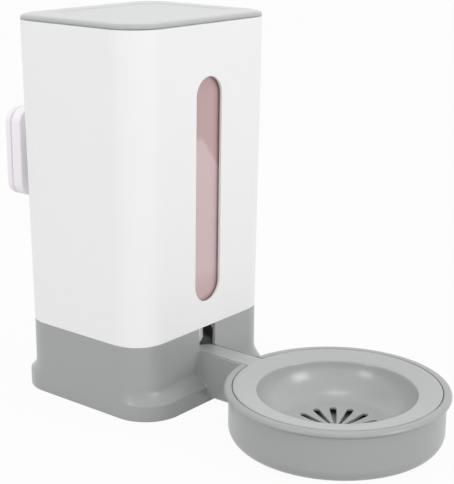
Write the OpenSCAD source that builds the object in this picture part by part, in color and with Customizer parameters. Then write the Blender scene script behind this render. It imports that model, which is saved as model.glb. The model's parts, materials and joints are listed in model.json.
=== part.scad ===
// Hanging pet water dispenser: an inverted bottle in a white tower stands over a grey base,
// whose arm leads the water to a round drinking bowl. A clamp on the back grips cage wires.
// The tower's centre on the floor is the origin, -Y is the front and +Z is up. Millimetres.

/* [Tower] */
// Width of the tower at the shell's lower edge
tower_w = 135.5; // [128:0.5:150]
// Depth of the tower at the shell's lower edge
tower_d = 111.5; // [106:0.5:124]
// How much wider the shell is at its top edge
draft_w = 3.7; // [0:0.1:6]
// How much deeper the shell is at its top edge
draft_d = 4; // [0:0.1:6]
// Radius of the tower's upright corners
corner_r = 23.4; // [21:0.2:26]
// Height of the shell's lower edge above the floor
base_h = 50.5; // [49:0.5:56]
// Height of the shell's top edge above the floor
shell_top = 255; // [225:1:300]
// Wall of the shell
shell_wall = 2.2; // [1.8:0.1:2.6]

/* [Window] */
// Width of the level window
window_w = 25.4; // [16:0.2:36]
// Shell below the window
window_foot = 18; // [14:0.5:30]
// Shell above the window
window_head = 34; // [20:0.5:60]

/* [Lid] */
// Height of the lid above the shell's top edge
lid_rise = 3.4; // [2.6:0.1:5]
// Shadow gap under the lid's edge
lid_gap = 0.6; // [0.3:0.1:1]
// Width of the rounded edge round the lid's top
lid_round = 5.7; // [3:0.1:8]
// Depth of the skirt that drops into the shell
lid_skirt = 8; // [5:0.5:10]
// Wall of the skirt
lid_wall = 1.8; // [1.2:0.1:2.4]
// Play between the skirt and the shell
lid_play = 0.3; // [0.2:0.05:0.6]
// Depth of the shallow hollow in the lid's top
hollow_depth = 1.2; // [0.6:0.1:1.6]
// Width of the band left round the hollow
hollow_margin = 14; // [10:0.5:20]

/* [Base] */
// Wall of the base
base_wall = 2.4; // [2:0.1:3]
// How far the foot stands out, front and back
foot_flare = 8.6; // [5:0.2:11]
// Height of the foot band
foot_h = 11; // [8:0.5:12]
// Height at which the cove above the foot band runs out
cove_top = 30; // [26:0.5:34]
// Radius of the foot's corners
foot_r = 27; // [24:0.2:29]
// Height of the deck inside the base
deck_h = 14; // [12.5:0.5:18]
// Thickness of the deck, the sump's floor and the arm's floor
floor_t = 2.2; // [1.6:0.1:3]
// Height of the lip that locates the shell
lip_h = 3; // [2:0.5:4]
// Wall of the lip
lip_wall = 1.2; // [1:0.1:1.6]
// Play between the lip and the shell
lip_play = 0.2; // [0.15:0.05:0.4]

/* [Sump] */
// Inner radius of the sump under the bottle's cap
sump_r = 31; // [30:0.2:33]
// Distance of the sump in front of the tower's centre
sump_y = 16.5; // [13:0.5:17.5]
// Height of the sump's inner floor
sump_floor = 5.4; // [4:0.1:6.5]
// Height of the sump's wall
sump_top = 29; // [26:0.5:31]

/* [Arm] */
// Width of the water channel in the arm
channel_w = 16.8; // [13:0.2:20]
// Wall of the arm
arm_wall = 1.35; // [1.2:0.05:2]
// Height of the arm's underside
arm_low = 4; // [3.4:0.2:6]

/* [Bowl] */
// Distance of the bowl's centre in front of the tower's centre
bowl_y = 162.8; // [154:0.2:180]
// Outer radius of the bowl's wall
bowl_r = 69; // [64:0.1:72]
// How far the rim rolls out past the wall
rim_roll = 3.1; // [1.6:0.1:4]
// Height of the bowl
bowl_h = 34.8; // [33:0.2:40]
// Wall of the bowl
bowl_wall = 2.1; // [1.8:0.1:3]
// Radius of the edge under the bowl
bowl_edge = 9.5; // [6:0.5:11]

/* [Insert] */
// Gap between the insert and what is round it
insert_play = 0.45; // [0.3:0.05:0.7]
// Thickness of the insert
insert_t = 1.8; // [1.4:0.1:2.4]
// Radius of the dish at its edge
dish_r = 51; // [47:0.2:54]
// Water space under the dish's floor
dish_gap = 4.2; // [3:0.1:7]
// How far the flange falls from its outer edge to the dish
flange_fall = 2.4; // [1:0.1:3]
// Number of drinking slots
slot_count = 14; // [10:1:16]
// Radius to which the slots reach
slot_reach = 27.6; // [22:0.2:27.6]
// Width of a slot at its outer end
slot_w = 4.6; // [3:0.1:5]
// Distance of the slots' inner ends from the centre
slot_start = 7; // [6.5:0.1:10]
// How far the tongue reaches past the base's front face
tongue_reach = 7; // [5:0.2:8]

/* [Bottle] */
// Play between the bottle and the shell
bottle_play = 1.3; // [0.8:0.1:2]
// Wall of the bottle
bottle_wall = 1.6; // [1.2:0.1:2.2]
// Space between the bottle and the lid
bottle_headroom = 5.5; // [4:0.5:9]
// Outer radius of the neck
neck_r = 23.2; // [22:0.1:23.6]

/* [Cap] */
// Outer radius of the cap
cap_r = 27; // [26.4:0.1:28.5]
// Floor of the cap
cap_wall = 2.4; // [2:0.1:2.8]
// Height of the cap's underside above the floor
cap_low = 32; // [31:0.5:34]
// Height of the cap
cap_h = 17; // [16:0.5:19]
// Thickness of the gasket in the cap
gasket_t = 2; // [1.4:0.1:3]
// Height of the nozzle's mouth, which sets the water level
water_level = 21; // [18:0.5:24]
// Bore of the nozzle
nozzle_bore = 11; // [9:0.2:12]

/* [Valve] */
// How far the plunger is held open
valve_lift = 3; // [2:0.5:4]
// Upward travel that is left to the plunger
valve_travel = 2.5; // [1.5:0.1:3]
// Diameter of the plunger's stem
stem_d = 4.4; // [3.6:0.1:5]
// Radius of the plunger's head
head_r = 9; // [8.4:0.1:9.6]
// Wire of the valve spring
spring_wire = 0.8; // [0.5:0.05:0.9]
// Turns of the valve spring
spring_turns = 5; // [4:1:5]

/* [Hanger] */
// Height of the hanger's centre above the floor
hanger_z = 161.5; // [140:0.5:175]
// Width of the two plates
plate_w = 108; // [90:1:112]
// Height of the two plates
plate_h = 61; // [56:1:70]
// Radius of the plates' corners
plate_r = 10; // [6:0.5:14]
// Space between the shell's back and the mount plate
stand_off = 8.6; // [8:0.1:12]
// Thickness of the mount plate
mount_t = 8.9; // [8:0.1:11]
// Thickness of the clamp plate
clamp_t = 4.8; // [4.2:0.1:7]
// Gap between the plates when the clamp is closed
plate_gap = 0.8; // [0.6:0.1:4]
// Travel of the clamp plate
clamp_travel = 8; // [5:0.5:9]
// Rounding of the plates' edges
plate_edge = 1.4; // [0.6:0.1:1.8]
// Skin of the two plates between their ribs
plate_skin = 2.2; // [1.8:0.1:2.6]
// Width of the rail's neck on the shell's back
rail_neck = 16; // [12:0.5:18]
// Width of the rail's head
rail_head = 26; // [23:0.5:32]
// Length of the rail
rail_h = 46; // [36:1:48]
// Play between the rail and its socket
rail_play = 0.4; // [0.2:0.05:0.6]
// Diameter of the clamp bolt
bolt_d = 6; // [5:0.5:7]
// Diameter of the clamp knob
knob_d = 34; // [30:0.5:35]
// Height of the clamp knob
knob_h = 15.8; // [14.5:0.1:17]
// Rounding of the knob's rims
knob_edge = 1.3; // [0.6:0.1:2]

/* [Hidden] */
$fn = 96;
// A cut runs this far past the face that it opens
over = 1;
// Segments in each upright corner of a lofted piece, and steps in a curved profile and in a small edge
corner_steps = 10;
curve_steps = 8;
edge_steps = 4;
// Play of a pin, bolt or screw in its hole, on the radius
shaft_play = 0.05;

// Tower
foot_x = tower_w / 2;
foot_y = tower_d / 2;

// Screws that hold the shell on the base, and the bosses round them
boss_r = 5;
boss_out = corner_r - max(shell_wall + lip_play, base_wall) - lip_wall - boss_r - 1;
boss_x = foot_x - corner_r + boss_out * cos(45);
boss_y = foot_y - corner_r + boss_out * sin(45);
boss_h = 7;
web_t = 2;
screw_r = 1.75;
screw_len = 12;
screw_head_r = 3.3;
screw_head_t = 2.2;
screw_seat = base_h - 6;

// Lid
lid_step = 1.3;
lid_edge = 0.8;
lid_top = shell_top + lid_rise;
hollow_slope = 7;

// Bowl
rim_r = bowl_r + rim_roll;
rim_edge = 2;
roll_h = 5;
roll_low = bowl_h - roll_h;
roll_high = bowl_h - rim_edge;
bowl_inner = bowl_r - bowl_wall;
bowl_inner_edge = bowl_edge - bowl_wall;
bowl_floor = 3.2;
bowl_hollow = 1.2;
bowl_ring = 4;
ledge_w = 2;

// Ribs in the sump that carry the cap: how far they reach under it, and their thickness
cap_rib_in = 6;
cap_rib_t = 2;

// Pads under the sump and under the bowl
pad_r = sump_r - 6;
bowl_pad_r = 7;
bowl_pad_in = 6.5;
bowl_pad_out = bowl_r - bowl_edge - bowl_ring - bowl_pad_in - bowl_pad_r;

// Arm
arm_half = channel_w / 2 + arm_wall;
arm_edge = 1;
// How far the arm's floor runs on into the bowl's wall
arm_root = 1.5;
channel_floor = arm_low + floor_t;
rim_cut = 6;
sump_cut = 4;
step_w = 1;
step_h = 2.4;
step_ends = 4;

// Insert
flange_r = bowl_inner - insert_play;
flange_z = bowl_h - 0.2;
flange_flat = 2;
seat_z = flange_z - insert_t - 0.5;
dish_rim = flange_z - flange_fall;
dish_floor = bowl_floor + dish_gap + insert_t;
dish_curve = dish_rim - dish_floor;
dish_flat = dish_r - dish_curve;
slot_tip = 1.3;
tongue_half = channel_w / 2 - insert_play;
tongue_end = foot_y - tongue_reach;
tongue_corner = 5.5;

// Cap, neck and gasket
cap_floor = cap_low + cap_wall;
cap_top = cap_low + cap_h;
grip_count = 40;
grip_r = 0.7;
neck_play = 0.35;
thread_h = 0.8;
thread_pitch = 4;
cap_inner = neck_r + thread_h + neck_play;
neck_low = cap_floor + gasket_t;
neck_inner = neck_r - 2.6;

// Bottle
shoulder_z = max(cap_top + 2, base_h + 0.5);
shoulder_h = 24;
dome_h = 10;
dome_in = 9;
bottle_top = shell_top - bottle_headroom;
bottle_gap = shell_wall + bottle_play;

// Valve
nozzle_r = nozzle_bore / 2 + 2.2;
seat_top = cap_floor + 1;
seal_t = 2;
seal_low = seat_top + valve_lift;
head_low = seal_low + seal_t;
head_top = head_low + 2;
spring_spare = 0.7;
spring_space = valve_travel + (spring_turns + 1) * spring_wire + spring_spare;
cage_low = head_top + spring_space;
cage_t = 2;
cage_r = 16;
cage_wall = 2.4;
cage_foot = 2;
cage_leg = 7;
cage_window_r = 3.6;
stem_top = cage_low + cage_t + 3;
pin_top = water_level - 3;
pin_play = 0.2;
spring_r = (stem_d + spring_wire) / 2 + 0.5;
spring_sides = 8;
spring_steps = 16;

// Hanger
back_y = shell_y(hanger_z);
socket_gap = 0.6;
socket_lip = 3.4;
socket_wall = 3;
socket_floor = 4;
socket_y = back_y + socket_gap;
slot_y = socket_y + socket_lip;
mount_y = back_y + stand_off;
mount_back = mount_y + mount_t;
clamp_y = mount_back + plate_gap;
clamp_back = clamp_y + clamp_t;
rail_low = hanger_z - rail_h / 2;
rib_t = 1.6;
rib_pitch = 18;
plate_rim = 2.2;
bolt_boss_r = 9;
bolt_head_w = 10;
bolt_head_t = 3.6;
bolt_head_in = 0.3;
clip_r = 5.6;
clip_t = 0.8;
clip_in = 0.4;
washer_r = 8;
washer_t = 1.2;
knob_y = clamp_back + washer_t;
knob_scallops = 8;
knob_scallop_r = 5;
nut_w = 10;
nut_t = 5;
nut_in = 0.3;
knob_cap_r = 10;
knob_cap_t = 1.8;
bolt_end = knob_y + knob_h - knob_cap_t - 1;

// Half sizes of the shell at a height: it widens a little towards its top
function shell_x(z) = foot_x + draft_w / 2 * (z - base_h) / (shell_top - base_h);
function shell_y(z) = foot_y + draft_d / 2 * (z - base_h) / (shell_top - base_h);

// A quarter of a circle's outline, from angle a
function quarter(x, y, r, a) = [for (i = [0:corner_steps]) let (b = a + 90 * i / corner_steps)
    [x + r * cos(b), y + r * sin(b)]];

// Outline of a rectangle with rounded corners, from its half sizes
function rounded(hx, hy, r) = concat(
    quarter(hx - r, hy - r, r, 0),
    quarter(r - hx, hy - r, r, 90),
    quarter(r - hx, r - hy, r, 180),
    quarter(hx - r, r - hy, r, 270));

// Solid through a stack of rounded rectangles: half width, half depth, corner radius, height, shift along Y
module loft(rows) {
    n = 4 * (corner_steps + 1);
    last = len(rows) - 1;
    points = [for (row = rows) for (p = rounded(row[0], row[1], row[2])) [p[0], p[1] + row[4], row[3]]];
    sides = [for (k = [0:last - 1]) for (i = [0:n - 1]) for (half = [0, 1])
        let (a = k * n + i, b = k * n + (i + 1) % n)
        half == 0 ? [a, a + n, b + n] : [a, b + n, b]];
    polyhedron(points, concat([[for (i = [0:n - 1]) i]], sides, [[for (i = [n - 1:-1:0]) last * n + i]]),
        convexity = 6);
}

// One row of the shell's outline at a height, drawn in by a margin
function shell_row(z, margin) = [shell_x(z) - margin, shell_y(z) - margin, corner_r - margin, z, 0];

// The base's outline at each height, drawn in by a margin: foot band, cove and upright wall
function cove(u) = pow(1 - u, 2);
function base_row(z, margin) = let (
    out = cove(min(1, max(0, (z - foot_h) / (cove_top - foot_h)))))
    [foot_x - margin, foot_y + foot_flare * out - margin, corner_r + (foot_r - corner_r) * out - margin, z, 0];
function base_rows(low, high, margin) = concat(
    [base_row(low, margin)],
    [for (i = [0:curve_steps]) base_row(foot_h + (cove_top - foot_h) * i / curve_steps, margin)],
    [base_row(high, margin)]);

// A straight upright ring with the tower's outline, between two margins
module tower_ring(low, high, outer, inner) {
    difference() {
        loft([[foot_x - outer, foot_y - outer, corner_r - outer, low, 0],
            [foot_x - outer, foot_y - outer, corner_r - outer, high, 0]]);
        loft([[foot_x - inner, foot_y - inner, corner_r - inner, low - over, 0],
            [foot_x - inner, foot_y - inner, corner_r - inner, high + over, 0]]);
    }
}

module at_bosses() {
    for (x = [-boss_x, boss_x], y = [-boss_y, boss_y]) translate([x, y, 0]) children();
}

// Webs between the screw bosses and the corners of the wall round them
module boss_webs(low, high) {
    for (sx = [-1, 1], sy = [-1, 1]) translate([sx * (foot_x - corner_r), sy * (foot_y - corner_r), low])
        rotate([0, 0, atan2(sy, sx)]) translate([boss_out + boss_r / 2, -web_t / 2, 0])
            cube([corner_r - shell_wall / 2 - boss_out - boss_r / 2, web_t, high - low]);
}

module at_sump() {
    translate([0, -sump_y, 0]) children();
}

module at_bowl() {
    translate([0, -bowl_y, 0]) children();
}

// A child drawn in the plane of the hanger's plates, as a slab from y0 to y1
module slab(y0, y1) {
    translate([0, y1, hanger_z]) rotate([90, 0, 0]) linear_extrude(y1 - y0) children();
}

// A bar along Y whose two lower edges are rounded
module arm_bar(high, y0, y1) {
    translate([0, y1, 0]) rotate([90, 0, 0]) linear_extrude(y1 - y0) {
        translate([-arm_half, arm_low + arm_edge]) square([2 * arm_half, high - arm_low - arm_edge]);
        translate([arm_edge - arm_half, arm_low]) square([2 * (arm_half - arm_edge), high - arm_low]);
        for (s = [-1, 1]) translate([s * (arm_half - arm_edge), arm_low + arm_edge]) circle(r = arm_edge, $fn = 32);
    }
}

// Half section of the bowl, for turning about its axis
module bowl_section() {
    lip_in = 1.2;
    difference() {
        union() {
            square([bowl_r - bowl_edge, roll_low]);
            translate([0, bowl_edge]) square([bowl_r, roll_low - bowl_edge]);
            translate([bowl_r - bowl_edge, bowl_edge]) circle(r = bowl_edge);
            polygon(concat([[0, roll_low]],
                [for (i = [0:curve_steps]) [bowl_r + rim_roll * (1 - cos(180 * i / curve_steps)) / 2,
                    roll_low + (roll_high - roll_low) * i / curve_steps]],
                [[rim_r - rim_edge, roll_high], [rim_r - rim_edge, bowl_h], [0, bowl_h]]));
            translate([rim_r - rim_edge, roll_high]) circle(r = rim_edge, $fn = 32);
        }
        translate([-over, bowl_floor + bowl_inner_edge]) square([bowl_inner + over, bowl_h]);
        translate([-over, bowl_floor]) square([bowl_inner - bowl_inner_edge + over, bowl_h]);
        translate([bowl_inner - bowl_inner_edge, bowl_floor + bowl_inner_edge]) circle(r = bowl_inner_edge);
        translate([-over, -over]) square([bowl_r - bowl_edge - bowl_ring + over, bowl_hollow + over]);
    }
    // Ledge that carries the insert
    polygon([[bowl_inner - ledge_w, seat_z], [bowl_inner - ledge_w, seat_z - lip_in],
        [bowl_inner + over, seat_z - lip_in - ledge_w - over], [bowl_inner + over, seat_z]]);
}

// The base's wall, its deck and the lip inside the shell's foot
module base_shell() {
    difference() {
        loft(base_rows(0, base_h, 0));
        difference() {
            loft(base_rows(-over, base_h + over, base_wall));
            translate([-tower_w, -tower_d, deck_h]) cube([2 * tower_w, 2 * tower_d, floor_t]);
        }
    }
    lip_out = shell_wall + lip_play;
    lip_in = max(lip_out, base_wall) + lip_wall;
    tower_ring(base_h - lip_h - over, base_h, base_wall / 2, lip_in);
    tower_ring(base_h - over, base_h + lip_h, lip_out, lip_in);
}

// One moulding: the base, the sump, the arm with its channel, and the bowl
module base_tray() {
    color([0.66, 0.67, 0.67]) {
        difference() {
            union() {
                base_shell();
                at_bosses() translate([0, 0, deck_h]) cylinder(r = boss_r, h = base_h - deck_h);
                boss_webs(deck_h, base_h);
                at_sump() translate([0, 0, sump_floor - floor_t])
                    cylinder(r = sump_r + floor_t, h = sump_top - sump_floor + floor_t);
                arm_bar(bowl_h, bowl_inner - bowl_y, base_wall / 2 - foot_y);
                arm_bar(channel_floor, bowl_inner - bowl_y - arm_root, bowl_inner - bowl_y + over);
                arm_bar(sump_top, -foot_y, -sump_y - sump_r);
                at_bowl() rotate_extrude() bowl_section();
            }
            at_sump() translate([0, 0, sump_floor]) cylinder(r = sump_r, h = base_h);
            // The channel, open at the top, cuts the bowl's rim, the base's front wall and the sump's wall
            translate([-channel_w / 2, bowl_inner - bowl_y - rim_cut, channel_floor])
                cube([channel_w, bowl_y - bowl_inner + rim_cut - sump_y - sump_r + sump_cut, base_h + lip_h]);
            // Screw holes, wide enough for the heads up to their seats
            at_bosses() {
                translate([0, 0, deck_h - over]) cylinder(r = screw_head_r + 0.3, h = screw_seat - deck_h + over);
                cylinder(r = screw_r + shaft_play, h = base_h + over);
            }
        }
        // Pin that opens the valve, and the ribs that carry the cap
        at_sump() translate([0, 0, sump_floor - floor_t / 2]) {
            cylinder(d = stem_d + 2, h = pin_top - sump_floor + floor_t / 2);
            for (a = [45:90:315]) rotate([0, 0, a]) translate([cap_r - cap_rib_in, -cap_rib_t / 2, 0])
                cube([sump_r + over - cap_r + cap_rib_in, cap_rib_t, cap_low - sump_floor + floor_t / 2]);
        }
        // Steps in the channel that carry the tongue
        for (s = [-1, 1]) translate([s * (channel_w - step_w) / 2, (bowl_inner - bowl_y - foot_y) / 2, 0])
            translate([0, 0, flange_z - insert_t - step_h / 2])
                cube([step_w + over, bowl_y - bowl_inner - foot_y - step_ends, step_h], center = true);
    }
}

// Half section of the insert: sloping flange, thicker at its seat, and the dish
module insert_section() {
    slope = flange_fall / (flange_r - flange_flat - dish_r);
    seat_in = bowl_inner - ledge_w - 1;
    difference() {
        union() {
            polygon([[dish_r, dish_rim], [flange_r - flange_flat, flange_z], [flange_r, flange_z],
                [flange_r, seat_z], [seat_in, seat_z],
                [seat_in, dish_rim + slope * (seat_in - dish_r) - insert_t], [dish_r, dish_rim - insert_t]]);
            difference() {
                union() {
                    translate([0, dish_floor - insert_t]) square([dish_flat, dish_curve + insert_t]);
                    translate([dish_flat, dish_rim]) circle(r = dish_curve + insert_t);
                }
                translate([-dish_r, dish_rim]) square([3 * dish_r, 2 * dish_curve]);
            }
        }
        translate([-over, dish_floor]) square([dish_flat + over, 2 * dish_curve]);
        translate([dish_flat, dish_rim]) circle(r = dish_curve);
        translate([-dish_r, 0]) square([dish_r, bowl_h]);
    }
}

// Outline of one tapered drinking slot, its round wide end outwards
module slot_outline() {
    wide = slot_w / 2;
    tip = slot_tip / 2;
    polygon([[slot_start, -tip], [slot_reach - wide, -wide], [slot_reach - wide, wide], [slot_start, tip]]);
    translate([slot_reach - wide, 0]) circle(r = wide, $fn = 32);
    translate([slot_start, 0]) circle(r = tip, $fn = 24);
}

// Outline of the tongue that covers the channel, with rounded corners at its end in the base
module tongue_outline() {
    root = bowl_y - flange_r + 1;
    translate([-tongue_half, -root]) square([2 * tongue_half, root - tongue_end - tongue_corner]);
    translate([tongue_corner - tongue_half, -root]) square([2 * (tongue_half - tongue_corner), root - tongue_end]);
    for (s = [-1, 1]) translate([s * (tongue_half - tongue_corner), -tongue_end - tongue_corner])
        circle(r = tongue_corner, $fn = 64);
}

module bowl_insert() {
    color([0.75, 0.76, 0.76]) difference() {
        union() {
            at_bowl() rotate_extrude() insert_section();
            translate([0, 0, flange_z - insert_t]) linear_extrude(insert_t) tongue_outline();
        }
        at_bowl() for (i = [0:slot_count - 1]) rotate([0, 0, 90 + 360 * i / slot_count])
            translate([0, 0, dish_floor - insert_t - over]) linear_extrude(insert_t + 2 * over) slot_outline();
    }
}

// The level window: a slot with round ends through the front wall
module window_cut() {
    low = base_h + window_foot + window_w / 2;
    high = shell_top - window_head - window_w / 2;
    translate([0, -foot_y + 2 * shell_wall, 0]) rotate([90, 0, 0]) linear_extrude(4 * shell_wall) {
        translate([-window_w / 2, low]) square([window_w, high - low]);
        for (z = [low, high]) translate([0, z]) circle(d = window_w);
    }
}

// Rail on the shell's back that hangs in the mount plate
module hanger_rail() {
    head_y = slot_y + rail_play;
    wall_y = shell_y(rail_low) - shell_wall / 2;
    translate([-rail_neck / 2, wall_y, rail_low]) cube([rail_neck, head_y - wall_y + over, rail_h]);
    translate([-rail_head / 2, head_y, rail_low]) cube([rail_head, mount_y - rail_play - head_y, rail_h]);
}

module outer_shell() {
    color([0.93, 0.93, 0.93]) difference() {
        union() {
            difference() {
                loft([shell_row(base_h, 0), shell_row(shell_top, 0)]);
                loft([shell_row(base_h - over, shell_wall), shell_row(shell_top + over, shell_wall)]);
            }
            at_bosses() translate([0, 0, base_h]) cylinder(r = boss_r, h = boss_h);
            boss_webs(base_h + lip_h + 2 * lip_play, base_h + boss_h);
            hanger_rail();
        }
        window_cut();
        at_bosses() translate([0, 0, base_h - over]) cylinder(r = screw_r + shaft_play, h = boss_h + over - 0.6);
    }
}

module lid() {
    x = shell_x(shell_top);
    y = shell_y(shell_top);
    edge_z = shell_top + lid_gap + lid_edge;
    skirt_low = shell_top - lid_skirt;
    play = shell_wall + lid_play;
    color([0.66, 0.67, 0.67]) difference() {
        union() {
            loft(concat(
                [for (row = [[lid_step, shell_top], [lid_step, shell_top + lid_gap], [0, shell_top + lid_gap]])
                    [x - row[0], y - row[0], corner_r - row[0], row[1], 0]],
                [for (i = [0:curve_steps]) let (a = 90 * i / curve_steps, inset = lid_round * (1 - cos(a)))
                    [x - inset, y - inset, corner_r - inset, edge_z + (lid_top - edge_z) * sin(a), 0]]));
            difference() {
                loft([shell_row(skirt_low, play), shell_row(shell_top + lid_gap, play)]);
                loft([shell_row(skirt_low - over, play + lid_wall), shell_row(shell_top, play + lid_wall)]);
            }
        }
        loft(concat(
            [for (i = [0:curve_steps]) let (u = i / curve_steps, inset = hollow_margin + hollow_slope * (1 - u))
                [x - inset, y - inset, corner_r - inset / 4, lid_top - hollow_depth * (1 + cos(180 * u)) / 2, 0]],
            [[x - hollow_margin, y - hollow_margin, corner_r - hollow_margin / 4, lid_top + over, 0]]));
    }
}

// Rows of the bottle drawn in by a margin: shoulder, upright body and domed end
function bottle_rows(margin) = let (neck = neck_r + 0.5, body_z = shoulder_z + shoulder_h) concat(
    [for (i = [0:curve_steps]) let (a = 90 * i / curve_steps, full = sin(a),
        row = shell_row(body_z, bottle_gap))
        [neck + (row[0] - neck) * full - margin, neck + (row[1] - neck) * full - margin,
            neck - 0.05 + (row[2] - neck) * full - margin,
            shoulder_z + (shoulder_h - margin) * (1 - cos(a)) + margin, -sump_y * (1 - full)]],
    [for (i = [0:curve_steps]) let (a = 90 * i / curve_steps, inset = dome_in * (1 - cos(a)),
        row = shell_row(bottle_top - dome_h, bottle_gap))
        [row[0] - inset - margin, row[1] - inset - margin, row[2] - inset - margin,
            bottle_top - dome_h + (dome_h - margin) * sin(a), 0]]);

module water_bottle() {
    color([0.84, 0.68, 0.70, 0.8]) difference() {
        union() {
            loft(bottle_rows(0));
            at_sump() {
                translate([0, 0, neck_low]) cylinder(r = neck_r, h = shoulder_z - neck_low + bottle_wall);
                for (i = [0:1]) translate([0, 0, neck_low + 3 + thread_pitch * i])
                    rotate_extrude() polygon([[neck_r - over, -1], [neck_r, -1], [neck_r + thread_h, -0.3],
                        [neck_r + thread_h, 0.3], [neck_r, 1], [neck_r - over, 1]]);
            }
        }
        loft(bottle_rows(bottle_wall));
        at_sump() translate([0, 0, neck_low - over])
            cylinder(r = neck_inner, h = shoulder_z - neck_low + over + 2 * bottle_wall);
    }
}

module bottle_cap() {
    color([0.91, 0.91, 0.91]) at_sump() difference() {
        union() {
            translate([0, 0, cap_low]) cylinder(r = cap_r - grip_r, h = cap_h);
            for (i = [0:grip_count - 1]) rotate([0, 0, 360 * i / grip_count])
                translate([cap_r - grip_r, 0, cap_low + 1]) cylinder(r = grip_r, h = cap_h - 2, $fn = 16);
            translate([0, 0, water_level]) cylinder(r = nozzle_r, h = cap_low - water_level + over);
        }
        difference() {
            translate([0, 0, cap_floor]) cylinder(r = cap_inner, h = cap_h);
            translate([0, 0, cap_floor - over]) cylinder(r = nozzle_r, h = seat_top - cap_floor + over);
        }
        translate([0, 0, water_level - over]) cylinder(d = nozzle_bore, h = seat_top - water_level + 2 * over);
    }
}

module cap_gasket() {
    color([0.80, 0.81, 0.82]) at_sump() translate([0, 0, cap_floor]) difference() {
        cylinder(r = cap_inner - shaft_play, h = gasket_t);
        translate([0, 0, -over]) cylinder(r = cage_r + shaft_play, h = gasket_t + 2 * over);
    }
}

// Cage on the cap's floor: a foot ring, three legs and a bridge that guides the plunger
module valve_cage() {
    window_out = (cage_r - cage_wall + stem_d / 2) / 2;
    color([0.88, 0.88, 0.86]) at_sump() {
        translate([0, 0, cap_floor]) linear_extrude(cage_foot) difference() {
            circle(r = cage_r);
            circle(r = cage_r - cage_wall);
        }
        for (a = [90:120:330]) rotate([0, 0, a])
            translate([cage_r - cage_wall + 0.1, -cage_leg / 2, cap_floor + cage_foot / 2])
                cube([cage_wall - 0.7, cage_leg, cage_low - cap_floor]);
        translate([0, 0, cage_low]) linear_extrude(cage_t) difference() {
            circle(r = cage_r);
            circle(r = stem_d / 2 + shaft_play);
            for (a = [30:60:330]) rotate(a) translate([window_out, 0]) circle(r = cage_window_r, $fn = 48);
        }
    }
}

module valve_plunger() {
    color([0.85, 0.86, 0.86]) at_sump() {
        translate([0, 0, pin_top + pin_play]) cylinder(d = stem_d, h = stem_top - pin_top - pin_play);
        translate([0, 0, head_low]) cylinder(r = head_r, h = head_top - head_low);
    }
}

module valve_seal() {
    color([0.72, 0.73, 0.74]) at_sump() translate([0, 0, seal_low]) difference() {
        cylinder(r = head_r - 0.5, h = seal_t);
        translate([0, 0, -over]) cylinder(r = stem_d / 2 + shaft_play, h = seal_t + 2 * over);
    }
}

// Points of the valve spring: a ring of the wire's section at each step along the helix
function spring_ring(i) = let (
    t = i / (spring_turns * spring_steps),
    a = 360 * spring_turns * t,
    z = head_top + spring_wire / 2 + (spring_space - spring_wire) * t)
    [for (k = [0:spring_sides - 1]) let (b = 360 * k / spring_sides, r = spring_r + spring_wire / 2 * cos(b))
        [r * cos(a), r * sin(a), z + spring_wire / 2 * sin(b)]];

module valve_spring() {
    last = spring_turns * spring_steps;
    n = spring_sides;
    points = [for (i = [0:last]) each spring_ring(i)];
    sides = [for (i = [0:last - 1]) for (k = [0:n - 1]) for (half = [0, 1])
        let (a = i * n + k, b = i * n + (k + 1) % n)
        half == 0 ? [a, b, b + n] : [a, b + n, a + n]];
    color([0.75, 0.76, 0.78]) at_sump() polyhedron(points,
        concat([[for (k = [n - 1:-1:0]) k]], sides, [[for (k = [0:n - 1]) last * n + k]]), convexity = 10);
}

module shell_screws() {
    color([0.62, 0.63, 0.65]) at_bosses() difference() {
        union() {
            translate([0, 0, screw_seat - screw_head_t]) cylinder(r = screw_head_r, h = screw_head_t, $fn = 48);
            translate([0, 0, screw_seat - over]) cylinder(r = screw_r, h = screw_len + over, $fn = 32);
        }
        for (a = [0, 90]) rotate([0, 0, a]) translate([-2, -0.4, screw_seat - screw_head_t - over])
            cube([4, 0.8, over + 1.2]);
    }
}

// Soft pads: one under the sump and three in the hollow under the bowl
module foot_pads() {
    color([0.35, 0.36, 0.37]) {
        at_sump() cylinder(r = pad_r, h = sump_floor - floor_t);
        at_bowl() for (a = [90:120:330]) rotate([0, 0, a]) translate([bowl_pad_out, 0, 0])
            cylinder(r = bowl_pad_r, h = bowl_hollow);
    }
}

// Outline of a hanger plate, drawn in by a margin
module plate_outline(margin) {
    x = plate_w / 2 - margin;
    z = plate_h / 2 - margin;
    r = plate_r - margin;
    translate([r - x, -z]) square([2 * (x - r), 2 * z]);
    translate([-x, r - z]) square([2 * x, 2 * (z - r)]);
    for (sx = [-1, 1], sz = [-1, 1]) translate([sx * (x - r), sz * (z - r)]) circle(r = r, $fn = 64);
}

// A hanger plate from y0 to y1 with rounded edges
function plate_row(inset, height) = [plate_w / 2 - inset, plate_h / 2 - inset, plate_r - inset, height, 0];
module rounded_plate(y0, y1) {
    translate([0, 0, hanger_z]) rotate([90, 0, 0]) loft(concat(
        [for (i = [0:edge_steps]) let (a = 90 * i / edge_steps)
            plate_row(plate_edge * (1 - sin(a)), plate_edge * (1 - cos(a)) - y1)],
        [for (i = [0:edge_steps]) let (a = 90 * i / edge_steps)
            plate_row(plate_edge * (1 - cos(a)), -y0 - plate_edge * (1 - sin(a)))]));
}

// Pocket between a plate's rim, ribs and bolt boss
module plate_pocket() {
    ribs = floor((plate_w / 2 - plate_rim) / rib_pitch);
    difference() {
        plate_outline(plate_rim);
        for (i = [-ribs:ribs]) translate([i * rib_pitch - rib_t / 2, -plate_h / 2]) square([rib_t, plate_h]);
        translate([-plate_w / 2, -rib_t / 2]) square([plate_w, rib_t]);
        circle(r = bolt_boss_r);
    }
}

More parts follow.
